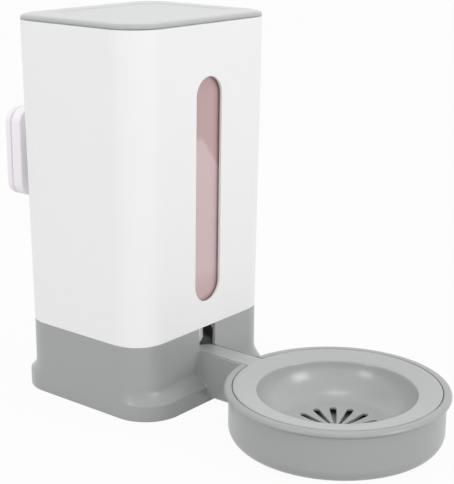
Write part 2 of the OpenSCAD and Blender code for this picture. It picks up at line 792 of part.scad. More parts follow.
// Plate that the shell's rail hangs in, with the clamp bolt held in its boss
module mount_plate() {
    half = rail_head / 2 + rail_play + socket_wall;
    color([0.90, 0.90, 0.91]) difference() {
        union() {
            rounded_plate(mount_y, mount_back);
            translate([-half, socket_y, rail_low - socket_floor])
                cube([2 * half, mount_y - socket_y + over, rail_h + socket_floor - rail_play]);
        }
        slab(mount_y + plate_skin, mount_back + over) plate_pocket();
        translate([-rail_head / 2 - rail_play, slot_y, rail_low])
            cube([rail_head + 2 * rail_play, mount_y - slot_y, rail_h + over]);
        translate([-rail_neck / 2 - rail_play, socket_y - over, rail_low])
            cube([rail_neck + 2 * rail_play, mount_y - socket_y, rail_h + over]);
        slab(mount_y - over, mount_back + over) circle(r = bolt_d / 2 + shaft_play);
        slab(mount_y - over, mount_y + bolt_head_in + bolt_head_t)
            square(bolt_head_w + 2 * shaft_play, center = true);
        slab(mount_back - clip_in - clip_t, mount_back + over) circle(r = clip_r + shaft_play);
    }
}

module clamp_bolt() {
    color([0.70, 0.71, 0.73]) {
        slab(mount_y + bolt_head_in, mount_y + bolt_head_in + bolt_head_t) square(bolt_head_w, center = true);
        slab(mount_y + bolt_head_in + over, bolt_end) circle(d = bolt_d);
    }
}

module bolt_clip() {
    color([0.55, 0.56, 0.58]) slab(mount_back - clip_in - clip_t, mount_back - clip_in) difference() {
        circle(r = clip_r);
        circle(r = bolt_d / 2 + shaft_play);
    }
}

module clamp_plate() {
    color([0.90, 0.90, 0.91]) difference() {
        rounded_plate(clamp_y, clamp_back);
        slab(clamp_y - over, clamp_back - plate_skin) plate_pocket();
        slab(clamp_y - over, clamp_back + over) circle(r = bolt_d / 2 + 2 * shaft_play);
    }
}

module clamp_washer() {
    color([0.72, 0.73, 0.75]) slab(clamp_back, knob_y) difference() {
        circle(r = washer_r);
        circle(r = bolt_d / 2 + 2 * shaft_play);
    }
}

// Half section of the knob, its rims rounded
module knob_section() {
    r = knob_d / 2;
    square([r - knob_edge, knob_h]);
    translate([0, knob_edge]) square([r, knob_h - 2 * knob_edge]);
    for (z = [knob_edge, knob_h - knob_edge]) translate([r - knob_edge, z]) circle(r = knob_edge, $fn = 32);
}

module clamp_knob() {
    back = knob_y + knob_h;
    color([0.90, 0.90, 0.91]) difference() {
        translate([0, back, hanger_z]) rotate([90, 0, 0]) rotate_extrude() knob_section();
        slab(knob_y - over, back + over) for (i = [0:knob_scallops - 1]) rotate(360 * i / knob_scallops)
            translate([knob_d / 2 + knob_scallop_r / 2, 0]) circle(r = knob_scallop_r, $fn = 48);
        slab(knob_y - over, back + over) circle(r = bolt_d / 2 + 4 * shaft_play);
        slab(knob_y - over, knob_y + nut_in + nut_t) circle(d = (nut_w + 2 * shaft_play) / cos(30), $fn = 6);
        slab(back - knob_cap_t, back + over) circle(r = knob_cap_r + shaft_play);
    }
}

module knob_nut() {
    color([0.78, 0.66, 0.38]) slab(knob_y + nut_in, knob_y + nut_in + nut_t) difference() {
        circle(d = nut_w / cos(30), $fn = 6);
        circle(r = bolt_d / 2 + shaft_play);
    }
}

module knob_cap() {
    back = knob_y + knob_h;
    color([0.88, 0.88, 0.89]) slab(back - knob_cap_t, back) circle(r = knob_cap_r);
}

base_tray();
bowl_insert();
outer_shell();
lid();
water_bottle();
bottle_cap();
cap_gasket();
valve_cage();
valve_plunger();
valve_seal();
valve_spring();
shell_screws();
foot_pads();
mount_plate();
clamp_bolt();
bolt_clip();
clamp_plate();
clamp_washer();
clamp_knob();
knob_nut();
knob_cap();
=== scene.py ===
"""The finished surfaces of a hanging pet water dispenser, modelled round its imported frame."""

import json
import math
from types import SimpleNamespace

import bmesh
import bpy
from mathutils import Matrix, Vector

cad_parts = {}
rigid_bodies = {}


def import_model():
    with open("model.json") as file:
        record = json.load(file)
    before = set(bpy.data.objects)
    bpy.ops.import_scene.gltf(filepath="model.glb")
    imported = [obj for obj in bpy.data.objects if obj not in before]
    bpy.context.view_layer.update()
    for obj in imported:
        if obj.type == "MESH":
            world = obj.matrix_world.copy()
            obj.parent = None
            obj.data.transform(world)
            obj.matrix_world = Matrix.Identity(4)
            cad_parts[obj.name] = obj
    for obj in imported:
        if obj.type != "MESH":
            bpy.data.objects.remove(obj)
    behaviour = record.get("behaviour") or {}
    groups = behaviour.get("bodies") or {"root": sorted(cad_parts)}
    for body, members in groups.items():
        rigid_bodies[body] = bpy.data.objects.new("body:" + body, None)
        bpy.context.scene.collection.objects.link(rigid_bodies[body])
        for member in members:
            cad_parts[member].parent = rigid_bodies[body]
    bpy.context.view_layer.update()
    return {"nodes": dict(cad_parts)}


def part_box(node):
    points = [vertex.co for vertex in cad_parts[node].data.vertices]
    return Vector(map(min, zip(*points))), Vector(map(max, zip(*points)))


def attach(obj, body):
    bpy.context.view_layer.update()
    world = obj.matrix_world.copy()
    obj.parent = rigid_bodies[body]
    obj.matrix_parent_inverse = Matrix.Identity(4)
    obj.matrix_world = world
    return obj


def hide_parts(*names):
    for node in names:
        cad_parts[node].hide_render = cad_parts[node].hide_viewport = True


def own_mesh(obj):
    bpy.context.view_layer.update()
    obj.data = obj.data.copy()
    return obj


bl_info = {
    "name": "Pet water dispenser",
    "version": (1, 0, 0),
    "blender": (4, 5, 0),
    "location": "3D View > Sidebar > Dispenser",
    "description": "Models the shell, base, bowl, bottle and clamp of a hanging pet water dispenser",
    "category": "Add Mesh",
}

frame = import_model()
MM = 0.001
# Bodies that the pieces ride on: all that stands still goes with the tower
TOWER = "tower"
CLAMP = "clamp"
KNOB = "knob"


def box_of(node):
    """Lowest and highest corner of a frame node, in millimetres."""
    low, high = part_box(node)
    return low / MM, high / MM


def in_mm(group):
    """The sizes of a property group in millimetres. Its counts and angles stay as they are."""
    found = {}
    for name, prop in group.bl_rna.properties.items():
        if prop.type in ("FLOAT", "INT"):
            value = getattr(group, name)
            found[name] = value / MM if prop.unit == "LENGTH" else value
    return SimpleNamespace(**found)


def linear(hex_colour):
    """An sRGB hex colour as linear red, green, blue and alpha."""
    parts = [int(hex_colour[i : i + 2], 16) / 255 for i in (1, 3, 5)]
    return [p / 12.92 if p <= 0.04045 else ((p + 0.055) / 1.055) ** 2.4 for p in parts] + [1.0]


def length(name, text, default):
    """A size in metres, from its value in millimetres."""
    return bpy.props.FloatProperty(
        name=name,
        description=text,
        default=default * MM,
        min=0.0,
        unit="LENGTH",
        subtype="DISTANCE",
        precision=5,
    )


def colour(name, text, default):
    """A colour, from its sRGB hex value."""
    return bpy.props.FloatVectorProperty(
        name=name, description=text, default=linear(default), size=4, min=0.0, max=1.0, subtype="COLOR"
    )


# Sizes

SHELL_LOW, SHELL_HIGH = box_of("outer_shell")
LID_LOW, LID_HIGH = box_of("lid")
BASE_HIGH = box_of("base_tray")[1]
INSERT_HIGH = box_of("bowl_insert")[1]
BOTTLE_LOW, BOTTLE_HIGH = box_of("water_bottle")
CAP_LOW, CAP_HIGH = box_of("bottle_cap")
PLATE_LOW, PLATE_HIGH = box_of("clamp_plate")
MOUNT_LOW, MOUNT_HIGH = box_of("mount_plate")
KNOB_LOW, KNOB_HIGH = box_of("clamp_knob")
SPRING_LOW, SPRING_HIGH = box_of("valve_spring")
HANGER_Z = (PLATE_LOW.z + PLATE_HIGH.z) / 2
# Lengths are in millimetres from here on
# How far a cutter reaches past what it cuts
OVER = 1
# Rim of the base and the bowl, underside of the cap's side, and foot of the hanger's socket
BASE_RIM = INSERT_HIGH.z + 0.2
CAP_LOW_FACE = CAP_HIGH.z - 17
SOCKET_LOW = 134.5
# Screw bosses, their bore and head, and the room for the base's lip under the shell's webs
BOSS_R = 5.0
BOSS_H = 7.0
SCREW_R = 1.8
SCREW_HEAD = 1.8
LIP_CLEAR = 3.4
# Steps of the curves in the base's cove, the bowl's rim, the bottle's shoulder and dome, and the lid
COVE_STEPS = 14
ROLL_STEPS = 14
SHOULDER_STEPS = 14
DOME_STEPS = 10
LID_STEPS = 12
# Bottle: height of its shoulder and its dome, and how far the dome draws in
SHOULDER_H = 24.0
DOME_H = 10.0
DOME_IN = 9.0
# Share of the foot's flare that is left at the crease, which softens it
CREASE = 0.982
# Arm: rounding of its lower edges, its root under the bowl's wall, and the cut through the rim
ARM_EDGE = 1.0
ARM_ROOT = 1.5
RIM_CUT = 6.0
# Bowl: height of its rolled rim, rounding of that rim, floor, and recess inside the ring it stands on
ROLL_H = 5.0
RIM_EDGE = 2.0
BOWL_FLOOR = 3.2
BOWL_RECESS = 1.2
BOWL_RING = 4
# Radius of the tongue's corners
TONGUE_CORNER = 5.5
# Grip ribs of the cap: their number, their height, and the points on the cap's side for each
CAP_RIBS = 40
CAP_RIB = 0.7
RIB_POINTS = 8
# Plates: rim, ribs and their pitch, boss round the bolt
PLATE_RIM = 2.2
PLATE_RIB = 1.6
RIB_PITCH = 18.0
BOLT_BOSS = 9.0
# Recess for the bolt's clip and for the nut in the knob
CLIP_R = 5.65
CLIP_T = 1.2
NUT_R = 5.83
NUT_T = 5.3
# The spring's lower end stays this far clear of the plunger's head
SPRING_CLEAR = 0.03
# Line on the bottle above which its pink is darker: height, width of its blur, where it starts to slant, and
# how steeply
TINT_LINE = 174
LINE_BLUR = 5
LINE_TURN = -3
LINE_SLANT = 1.2
# Heights between which painted shade deepens the bottle's tint again, and the shares of its colour where it
# is deep
SHOULDER_SHADE = (90, 78)
DEEP_TINT = (0.82, 0.72, 0.69)
# Moulded plastic: width of its faint mottle, and how far its roughness varies
MOTTLE_SIZE = 38
GLOSS_SPREAD = 0.02
# Pitch of the turning marks, drawn coarser than real ones so that they show
TURNING_PITCH = 1.2

# The stage: floor in metres, its share of plain white to the camera, strength of the light all round
FLOOR_SIZE = 8.0
FLOOR_WHITE_SHARE = 0.95
WORLD_STRENGTH = 0.92
# Lamps: name, place and size in metres, watts
LAMPS = (
    ("left", (-1.8, 0.1, 0.45), 0.6, 3.4),
    ("front", (0.1, -2.2, 0.8), 0.9, 9.2),
    ("top", (0.0, -0.15, 1.9), 0.5, 2.0),
)


class TowerSizes(bpy.types.PropertyGroup):
    """Sizes of the shell, the lid, the base and the bottle."""

    foot_x: length("Half width", "Half the tower's width at the shell's lower edge", 67.75)
    foot_y: length("Half depth", "Half the tower's depth at the shell's lower edge", 55.75)
    corner: length("Corner radius", "Radius of the tower's upright corners", 23.4)
    shell_wall: length("Shell wall", "Wall of the shell", 2.2)
    window_w: length("Window width", "Width of the window in the shell's front", 25.4)
    window_foot: length("Window foot", "Shell below the window", 18.0)
    window_head: length("Window head", "Shell above the window", 34.0)
    base_wall: length("Base wall", "Wall of the base", 2.4)
    flare: length("Foot flare", "How far the foot stands out, front and back", 8.2)
    foot_corner: length("Foot radius", "Radius of the foot's corners", 27.0)
    foot_h: length("Foot band", "Height of the foot band", 11.0)
    cove_top: length("Cove top", "Height at which the cove above the foot band runs out", 21.0)
    deck_h: length("Deck", "Height of the deck inside the base", 14.0)
    floor_t: length("Floor", "Thickness of the deck and of the sump's floor", 2.2)
    lip_wall: length("Lip wall", "Wall of the lip", 1.2)
    lip_play: length("Lip play", "Play between the lip and the shell", 0.2)
    boss_x: length("Boss place, across", "Distance of the screw bosses from the middle, across", 54.11)
    boss_y: length("Boss place, deep", "Distance of the screw bosses from the middle, front to back", 42.11)
    lip_h: length("Lip", "Height of the lip that locates the shell", 3.0)
    lid_step: length("Lid step", "How far the lid's foot stands back under its edge", 1.3)
    lid_gap: length("Lid gap", "Shadow gap under the lid's edge", 0.6)
    lid_edge: length("Lid edge", "Upright part of the lid's edge", 0.8)
    lid_wall: length("Skirt wall", "Wall of the lid's skirt", 1.8)
    lid_play: length("Skirt play", "Play between the skirt and the shell", 0.3)
    lid_slope: length("Hollow slope", "Width of the slope round the lid's hollow", 7.0)
    lid_round: length("Lid rounding", "Width of the rounded edge round the lid's top", 5.7)
    lid_hollow: length("Lid hollow", "Depth of the shallow hollow in the lid's top", 0.5)
    lid_margin: length("Lid margin", "Width of the band left round the hollow", 14.0)
    bottle_wall: length("Bottle wall", "Wall of the bottle", 1.6)
    bottle_play: length("Bottle play", "Play between the bottle and the shell", 1.3)
    shoulder: length("Shoulder", "Height at which the bottle's shoulder starts", 51.0)
    neck: length("Neck radius", "Outer radius of the bottle's neck", 23.2)
    soft_edge: length("Edge rounding", "Rounding of the moulded edges", 0.45)
    spring_wire: length("Spring wire", "Wire of the valve spring", 0.8)
    valve_travel: length("Valve travel", "How far the plunger rises against its spring", 2.5)
    spring_turns: bpy.props.IntProperty(
        name="Spring turns", description="Turns of the valve spring", default=5, min=3, max=12
    )


class BowlSizes(bpy.types.PropertyGroup):
    """Sizes of the sump, the arm, the bowl and its insert."""

    sump_r: length("Sump radius", "Inner radius of the sump under the cap", 31.0)
    sump_y: length("Sump place", "Distance of the sump in front of the tower's centre", 16.5)
    sump_floor: length("Sump floor", "Height of the sump's inner floor", 5.4)
    sump_top: length("Sump top", "Height of the sump's wall", 29.0)
    channel_w: length("Channel width", "Width of the water channel", 16.8)
    arm_wall: length("Arm wall", "Wall of the arm", 1.35)
    arm_low: length("Arm underside", "Height of the arm's underside", 4.0)
    bowl_y: length("Bowl place", "Distance of the bowl's centre in front of the tower's centre", 162.8)
    bowl_r: length("Bowl radius", "Outer radius of the bowl's wall", 69.0)
    rim_roll: length("Rim roll", "How far the rim rolls out past the wall", 3.1)
    bowl_wall: length("Bowl wall", "Wall of the bowl", 2.1)
    bowl_edge: length("Bowl edge", "Radius of the edge under the bowl", 9.5)
    dish_r: length("Dish radius", "Radius of the dish at its edge", 51.0)
    dish_low: length("Dish floor", "Height of the middle of the dish", 6.1)
    dish_slope: bpy.props.FloatProperty(
        name="Dish slope",
        description="Slope of the dish's hollow floor where it meets the side",
        default=math.radians(12.5),
        min=0.0,
        max=0.4,
        unit="ROTATION",
        subtype="ANGLE",
    )
    flange_fall: length("Flange fall", "How far the flange falls to the dish", 2.4)
    insert_play: length("Insert play", "Gap between the insert and what is round it", 0.45)
    insert_edge: length("Insert edge", "Rounding of the insert's edges", 0.4)
    pin_r: length("Pin radius", "Radius of the pin that opens the valve", 3.2)
    pin_top: length("Pin top", "Height of the pin that opens the valve", 18.0)
    insert_t: length("Insert thickness", "Thickness of the insert", 1.8)
    slot_reach: length("Slot reach", "Radius to which the slots reach", 27.6)
    slot_start: length("Slot start", "Distance of the slots' inner ends from the centre", 6.0)
    slot_w: length("Slot width", "Width of a slot at its outer end", 4.6)
    slot_tip: length("Slot tip", "Width of a slot at its inner end", 1.3)
    slot_count: bpy.props.IntProperty(
        name="Slots", description="Number of drinking slots", default=14, min=3, max=40
    )


class ClampSizes(bpy.types.PropertyGroup):
    """Sizes of the rail, its socket, the plates and the knob."""

    rail_neck: length("Rail neck", "Width of the rail's neck", 16.0)
    rail_head: length("Rail head", "Width of the rail's head", 26.0)
    rail_y: length("Rail head place", "Distance of the rail's head behind the tower's centre", 61.24)
    rail_low: length("Rail foot", "Height of the rail's lower end", 138.5)
    rail_high: length("Rail top", "Height of the rail's upper end", 184.5)
    rail_play: length("Rail play", "Play between the rail and its socket", 0.4)
    socket_wall: length("Socket wall", "Wall of the socket", 3.0)
    mount_t: length("Mount plate", "Thickness of the mount plate", 8.9)
    plate_r: length("Plate corners", "Radius of the plates' corners", 10.0)
    plate_edge: length("Plate edge", "Rounding of the plates' edges", 1.4)
    plate_skin: length("Plate skin", "Skin of the plates between their ribs", 2.2)
    bolt_d: length("Bolt", "Diameter of the clamp bolt", 6.0)
    bolt_head: length("Bolt head", "Width of the bolt's square head", 10.0)
    knob_d: length("Knob", "Diameter of the knob", 34.0)
    scallop_r: length("Scallop", "Radius of the knob's scallops", 5.0)
    knob_edge: length("Knob edge", "Rounding of the knob's rims", 1.3)
    cap_r: length("Cover radius", "Radius of the cover over the bolt's end", 10.0)
    cap_t: length("Cover thickness", "Thickness of the cover over the bolt's end", 1.8)
    scallops: bpy.props.IntProperty(
        name="Scallops", description="Number of scallops", default=8, min=3, max=24
    )


class Finishes(bpy.types.PropertyGroup):
    """Colours of the materials."""

    shell_white: colour("Shell", "White ABS of the shell", "#F6F6F6")
    # Painted light: the lid is the base's grey plastic, painted lighter for the light on its top
    lid_grey: colour("Lid", "Grey ABS of the lid", "#B2B4B4")
    base_grey: colour("Base", "Grey ABS of the base and the bowl", "#A2A4A4")
    # Painted light: the insert is the base's grey plastic, painted paler for the light on its flange
    insert_grey: colour("Insert", "Pale grey ABS of the insert", "#ABADAD")
    bottle_pink: colour("Bottle", "Pink tint of the bottle", "#D3B9BC")
    cap_white: colour("Cap", "White polypropylene of the cap", "#E4E5E5")
    clamp_white: colour("Clamp", "White ABS of the clamp", "#FAF5FA")
    floor_white: colour("Floor", "Plain pale floor", "#C8C8C8")


# Selecting and finishing


def select_only(piece):
    """Leaves one object selected and active."""
    for other in bpy.context.view_layer.objects:
        other.select_set(False)
    piece.select_set(True)
    bpy.context.view_layer.objects.active = piece


def edit(piece, kind="VERT"):
    """Enters edit mode with nothing selected."""
    select_only(piece)
    bpy.ops.object.mode_set(mode="EDIT")
    bpy.ops.mesh.select_mode(type=kind)
    bpy.ops.mesh.select_all(action="DESELECT")


def pick(test):
    """Selects, in edit mode, what passes the test in the current select mode."""
    mesh = bmesh.from_edit_mesh(bpy.context.object.data)
    parts = {"VERT": mesh.verts, "EDGE": mesh.edges, "FACE": mesh.faces}
    vert_mode, edge_mode, _ = bpy.context.tool_settings.mesh_select_mode
    kind = "VERT" if vert_mode else "EDGE" if edge_mode else "FACE"
    bpy.ops.mesh.select_all(action="DESELECT")
    for part in parts[kind]:
        part.select = bool(test(part))
    mesh.select_flush_mode()
    bmesh.update_edit_mesh(bpy.context.object.data)


def leave_edit():
    """Merges doubles, turns the faces outwards and leaves edit mode."""
    bpy.ops.mesh.select_all(action="SELECT")
    bpy.ops.mesh.remove_doubles(threshold=0.002 * MM)
    bpy.ops.mesh.normals_make_consistent(inside=False)
    bpy.ops.object.mode_set(mode="OBJECT")


def apply_modifier(piece, kind, **settings):
    """Adds a modifier with its settings and applies it."""
    select_only(piece)
    modifier = piece.modifiers.new(kind.title(), kind)
    for key, value in settings.items():
        setattr(modifier, key, value)
    bpy.ops.object.modifier_apply(modifier=modifier.name)


def combine(piece, tool, how):
    """Applies a boolean of a piece and a tool, and removes the tool."""
    apply_modifier(piece, "BOOLEAN", object=tool, operation=how, solver="EXACT")
    bpy.data.objects.remove(tool)


def cut(piece, tool):
    """Cuts a tool out of a piece."""
    combine(piece, tool, "DIFFERENCE")


def weld(piece, tool):
    """Joins a tool on to a piece, as one solid."""
    combine(piece, tool, "UNION")


def smooth(piece, angle=32.0):
    """Shades a piece smooth, apart from its sharp edges."""
    select_only(piece)
    bpy.ops.object.shade_smooth_by_angle(angle=math.radians(angle))


def soften(piece, width, test, angle=32.0, segments=3):
    """Rounds a piece's sharp edges a little, where both ends pass the test, and shades it smooth."""
    mesh = bmesh.new()
    mesh.from_mesh(piece.data)
    weight = mesh.edges.layers.float.new("bevel_weight_edge")
    for edge in mesh.edges:
        sharp = len(edge.link_faces) == 2 and edge.calc_face_angle() > math.radians(angle)
        edge[weight] = float(sharp and all(test(v.co / MM) for v in edge.verts))
    mesh.to_mesh(piece.data)
    mesh.free()
    apply_modifier(
        piece,
        "BEVEL",
        width=width * MM,
        segments=segments,
        limit_method="WEIGHT",
        miter_outer="MITER_ARC",
        use_clamp_overlap=False,
    )
    smooth(piece, angle)
    apply_modifier(piece, "WEIGHTED_NORMAL", keep_sharp=True, weight=60)


def group(pieces):
    """Joins pieces that don't touch each other into one, as one tool."""
    for other in bpy.context.view_layer.objects:
        other.select_set(False)
    for piece in pieces:
        piece.select_set(True)
    bpy.context.view_layer.objects.active = pieces[0]
    bpy.ops.object.join()
    return pieces[0]


def hand_over(piece, name, body, slot, material, *nodes):
    """Names a finished piece and ties it to the frame."""
    piece.name = name
    piece.data.name = name
    piece.data.materials.clear()
    piece.data.materials.append(material)
    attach(piece, body)
    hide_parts(*nodes)


# Forms that several pieces share


def arc(x, y, radius, start, end, steps):
    """Points along an arc, with its angles in degrees."""
    angles = [math.radians(start + (end - start) * i / steps) for i in range(steps + 1)]
    return [(x + radius * math.cos(a), y + radius * math.sin(a)) for a in angles]


def quarter(steps):
    """Angles of a quarter turn in equal steps, from 0."""
    return [math.pi / 2 * i / steps for i in range(steps + 1)]


def turned(profile, centre=(0.0, 0.0), steps=128):
    """A closed outline of (radius, height) points, in millimetres, spun round an upright axis.

    The outline runs from the axis back to the axis, or round a ring back to its first point.
    """
    points = [Vector((centre[0] + r, centre[1], z)) * MM for r, z in profile]
    ring = min(r for r, z in profile) > 0
    if ring:
        points.append(points[0])
    bpy.ops.object.select_all(action="DESELECT")
    bpy.ops.mesh.primitive_plane_add(size=MM, location=points[0])
    bpy.ops.object.transform_apply(location=True, rotation=False, scale=False)
    bpy.ops.object.mode_set(mode="EDIT")
    bpy.ops.mesh.select_mode(type="VERT")
    bpy.ops.mesh.select_all(action="SELECT")
    bpy.ops.mesh.merge(type="CENTER")
    for here, there in zip(points, points[1:]):
        bpy.ops.mesh.extrude_region_move(TRANSFORM_OT_translate={"value": there - here})
    bpy.ops.mesh.select_all(action="SELECT")
    axis_point = Vector((centre[0], centre[1], 0.0)) * MM
    bpy.ops.mesh.spin(steps=steps, angle=2 * math.pi, center=axis_point, axis=(0, 0, 1))
    leave_edit()
    # The flat fans round the axis become single faces
    piece = bpy.context.object
    edit(piece)
    pick(lambda v: math.hypot(v.co.x - axis_point.x, v.co.y - axis_point.y) < 0.01 * MM)
    bpy.ops.mesh.dissolve_verts()
    leave_edit()
    return piece


def rod(radius, low, high, centre=(0.0, 0.0), steps=48):
    """An upright rod from one height to another."""
    middle = Vector((centre[0], centre[1], (low + high) / 2)) * MM
    bpy.ops.object.select_all(action="DESELECT")
    bpy.ops.mesh.primitive_cylinder_add(
        vertices=steps, radius=radius * MM, depth=(high - low) * MM, end_fill_type="NGON", location=middle
    )
    bpy.ops.object.transform_apply(location=True, rotation=False, scale=False)
    return bpy.context.object


def rods(places, radius, low, high, steps=48):
    """Equal upright rods at several places, as one tool."""
    return group([rod(radius, low, high, at, steps) for at in places])


def block(low, high):
    """A box between two corners, in millimetres."""
    low, high = Vector(low) * MM, Vector(high) * MM
    bpy.ops.object.select_all(action="DESELECT")
    bpy.ops.mesh.primitive_cube_add(size=1, location=(low + high) / 2)
    piece = bpy.context.object
    piece.scale = high - low
    bpy.ops.object.transform_apply(location=True, rotation=False, scale=True)
    return piece


def upright(edge):
    """True for an edge that runs along Z."""
    along = edge.verts[1].co - edge.verts[0].co
    return abs(along.z) > 0.9 * along.length


def along_y(edge):
    """True for an edge that runs along Y."""
    along = edge.verts[1].co - edge.verts[0].co
    return abs(along.y) > 0.9 * along.length


def round_edges(piece, test, radius, segments):
    """Rounds the edges that pass a test."""
    edit(piece, "EDGE")
    pick(test)
    bpy.ops.mesh.bevel(offset=radius * MM, segments=segments, affect="EDGES")
    leave_edit()
    return piece


def moved(piece, matrix):
    """Moves a piece's mesh by a matrix and leaves its object at the origin."""
    piece.matrix_world = matrix @ piece.matrix_world
    select_only(piece)
    bpy.ops.object.transform_apply(location=True, rotation=True, scale=True)
    return piece


def shifted(piece, by):
    """Moves a piece, in millimetres."""
    return moved(piece, Matrix.Translation(Vector(by) * MM))


def turn_about(piece, angle, centre):
    """Turns a piece that was made on the X axis, and sets it round an upright axis."""
    return moved(piece, Matrix.Translation(Vector((*centre, 0)) * MM) @ Matrix.Rotation(angle, 4, "Z"))


def face_back(piece, height):
    """Stands up a piece that was made lying: its Z runs to the front and its Y upwards from a height."""
    return moved(piece, Matrix.Translation((0, 0, height * MM)) @ Matrix.Rotation(math.pi / 2, 4, "X"))


def back_turned(profile, steps=64):
    """A turned piece whose axis is the clamp bolt's."""
    return face_back(turned(profile, (0, 0), steps), HANGER_Z)


def back_rod(radius, low_y, high_y, steps=48, centre=(0.0, 0.0)):
    """A rod along the clamp bolt's direction."""
    return face_back(rod(radius, -high_y, -low_y, centre, steps), HANGER_Z)


def corner_centre(row, side_x, side_y):
    """Centre of one corner's arc in a row of a loft."""
    half_x, half_y, radius, z, shift = row
    return Vector((side_x * (half_x - radius), side_y * (half_y - radius) + shift, z)) * MM


def reshape(old, new):
    """Turns the selected cap from one rounded rectangle into another, corner by corner."""
    grow = new[2] / old[2]
    cap = [v.index for v in bmesh.from_edit_mesh(bpy.context.object.data).verts if v.select]
    for side_x in (-1, 1):
        for side_y in (-1, 1):
            centre = corner_centre(old, side_x, side_y)
            mesh = bmesh.from_edit_mesh(bpy.context.object.data)
            mesh.verts.ensure_lookup_table()
            members = set()
            for i in cap:
                at = mesh.verts[i].co - centre
                if at.x * side_x > -MM * 0.001 and at.y * side_y > -MM * 0.001:
                    members.add(i)
            bpy.ops.mesh.select_mode(type="VERT")
            pick(lambda v: v.index in members)
            bpy.ops.transform.resize(value=(grow, grow, 1), center_override=centre)
            bpy.ops.transform.translate(value=corner_centre(new, side_x, side_y) - centre)
    chosen = set(cap)
    pick(lambda v: v.index in chosen)


def loft(rows, segments=16):
    """A solid through rounded rectangles: half width, half depth, corner radius, height, shift along Y."""
    half_x, half_y, radius, z, shift = rows[0]
    bpy.ops.object.select_all(action="DESELECT")
    bpy.ops.mesh.primitive_plane_add(size=2 * MM, location=(0, shift * MM, z * MM))
    piece = bpy.context.object
    piece.scale = (half_x, half_y, 1)
    bpy.ops.object.transform_apply(location=True, rotation=False, scale=True)
    bpy.ops.object.mode_set(mode="EDIT")
    bpy.ops.mesh.select_mode(type="VERT")
    bpy.ops.mesh.select_all(action="SELECT")
    bpy.ops.mesh.bevel(offset=radius * MM, segments=segments, affect="VERTICES")
    bpy.ops.mesh.select_all(action="SELECT")
    for old, new in zip(rows, rows[1:]):
        bpy.ops.mesh.extrude_region_move(TRANSFORM_OT_translate={"value": (0, 0, 0)})
        reshape(old, new)
    leave_edit()
    return bpy.context.object


def shell_row(z, margin, sizes):
    """The tower's outline at a height, drawn in by a margin: it widens a little upwards."""
    up = (z - SHELL_LOW.z) / (SHELL_HIGH.z - SHELL_LOW.z)
    half_x = sizes.foot_x + (SHELL_HIGH.x - sizes.foot_x) * up
    half_y = sizes.foot_y - (SHELL_LOW.y + sizes.foot_y) * up
    return (half_x - margin, half_y - margin, sizes.corner - margin, z, 0.0)


def base_row(z, margin, sizes):
    """The base's outline at a height: foot band, cove and upright wall, with the crease eased a little."""
    foot_h, cove_top = sizes.foot_h, sizes.cove_top
    out = (1 - min(1.0, max(0.0, (z - foot_h) / (cove_top - foot_h)))) ** 2
    if abs(z - foot_h) < 0.01:
        out = CREASE
    corner = sizes.corner
    half_y = sizes.foot_y + sizes.flare * out
    foot_corner = corner + (sizes.foot_corner - corner) * out
    return (sizes.foot_x - margin, half_y - margin, foot_corner - margin, z, 0.0)


def straight_row(z, margin, sizes):
    """The tower's outline at its foot, the same at every height."""
    return (sizes.foot_x - margin, sizes.foot_y - margin, sizes.corner - margin, z, 0.0)


def row_in(half_x, half_y, corner, inset, z):
    """A row drawn in all round by an inset."""
    return (half_x - inset, half_y - inset, corner - inset, z, 0.0)


def base_heights(low, high, sizes):
    """Heights between two levels at which the base's outline is drawn: close together along the cove."""
    foot_h, rise = sizes.foot_h, sizes.cove_top - sizes.foot_h
    cove = [foot_h - 0.5, foot_h, foot_h + 0.5]
    cove += [foot_h + rise * i / COVE_STEPS for i in range(1, COVE_STEPS + 1)]
    return [low] + [z for z in cove if low + 0.3 < z < high - 0.3] + [high]


def boss_places(sizes):
    """Centres of the four screw bosses."""
    out_x, out_y = (-sizes.boss_x, sizes.boss_x), (-sizes.boss_y, sizes.boss_y)
    return [(x, y) for x in out_x for y in out_y]


def boss_web(x, y, low, high, sizes):
    """The web between a boss and the corner of the wall outside it."""
    side_x, side_y = math.copysign(1, x), math.copysign(1, y)
    corner = sizes.corner
    root_x, root_y = (sizes.foot_x - corner) * side_x, (sizes.foot_y - corner) * side_y
    out = math.hypot(x - root_x, y - root_y)
    web = block((out + BOSS_R / 2, -1, low), (corner - sizes.shell_wall / 2, 1, high))
    turn_about(web, math.atan2(side_y, side_x), (0, 0))
    return shifted(web, (root_x, root_y, 0))


def arm_bar(half, low_y, high_y, low_z, high_z):
    """A bar along Y whose two lower edges are rounded."""
    bar = block((-half, low_y, low_z), (half, high_y, high_z))
    lower_z = (low_z + 0.1) * MM
    return round_edges(bar, lambda e: all(v.co.z < lower_z for v in e.verts) and along_y(e), ARM_EDGE, 5)


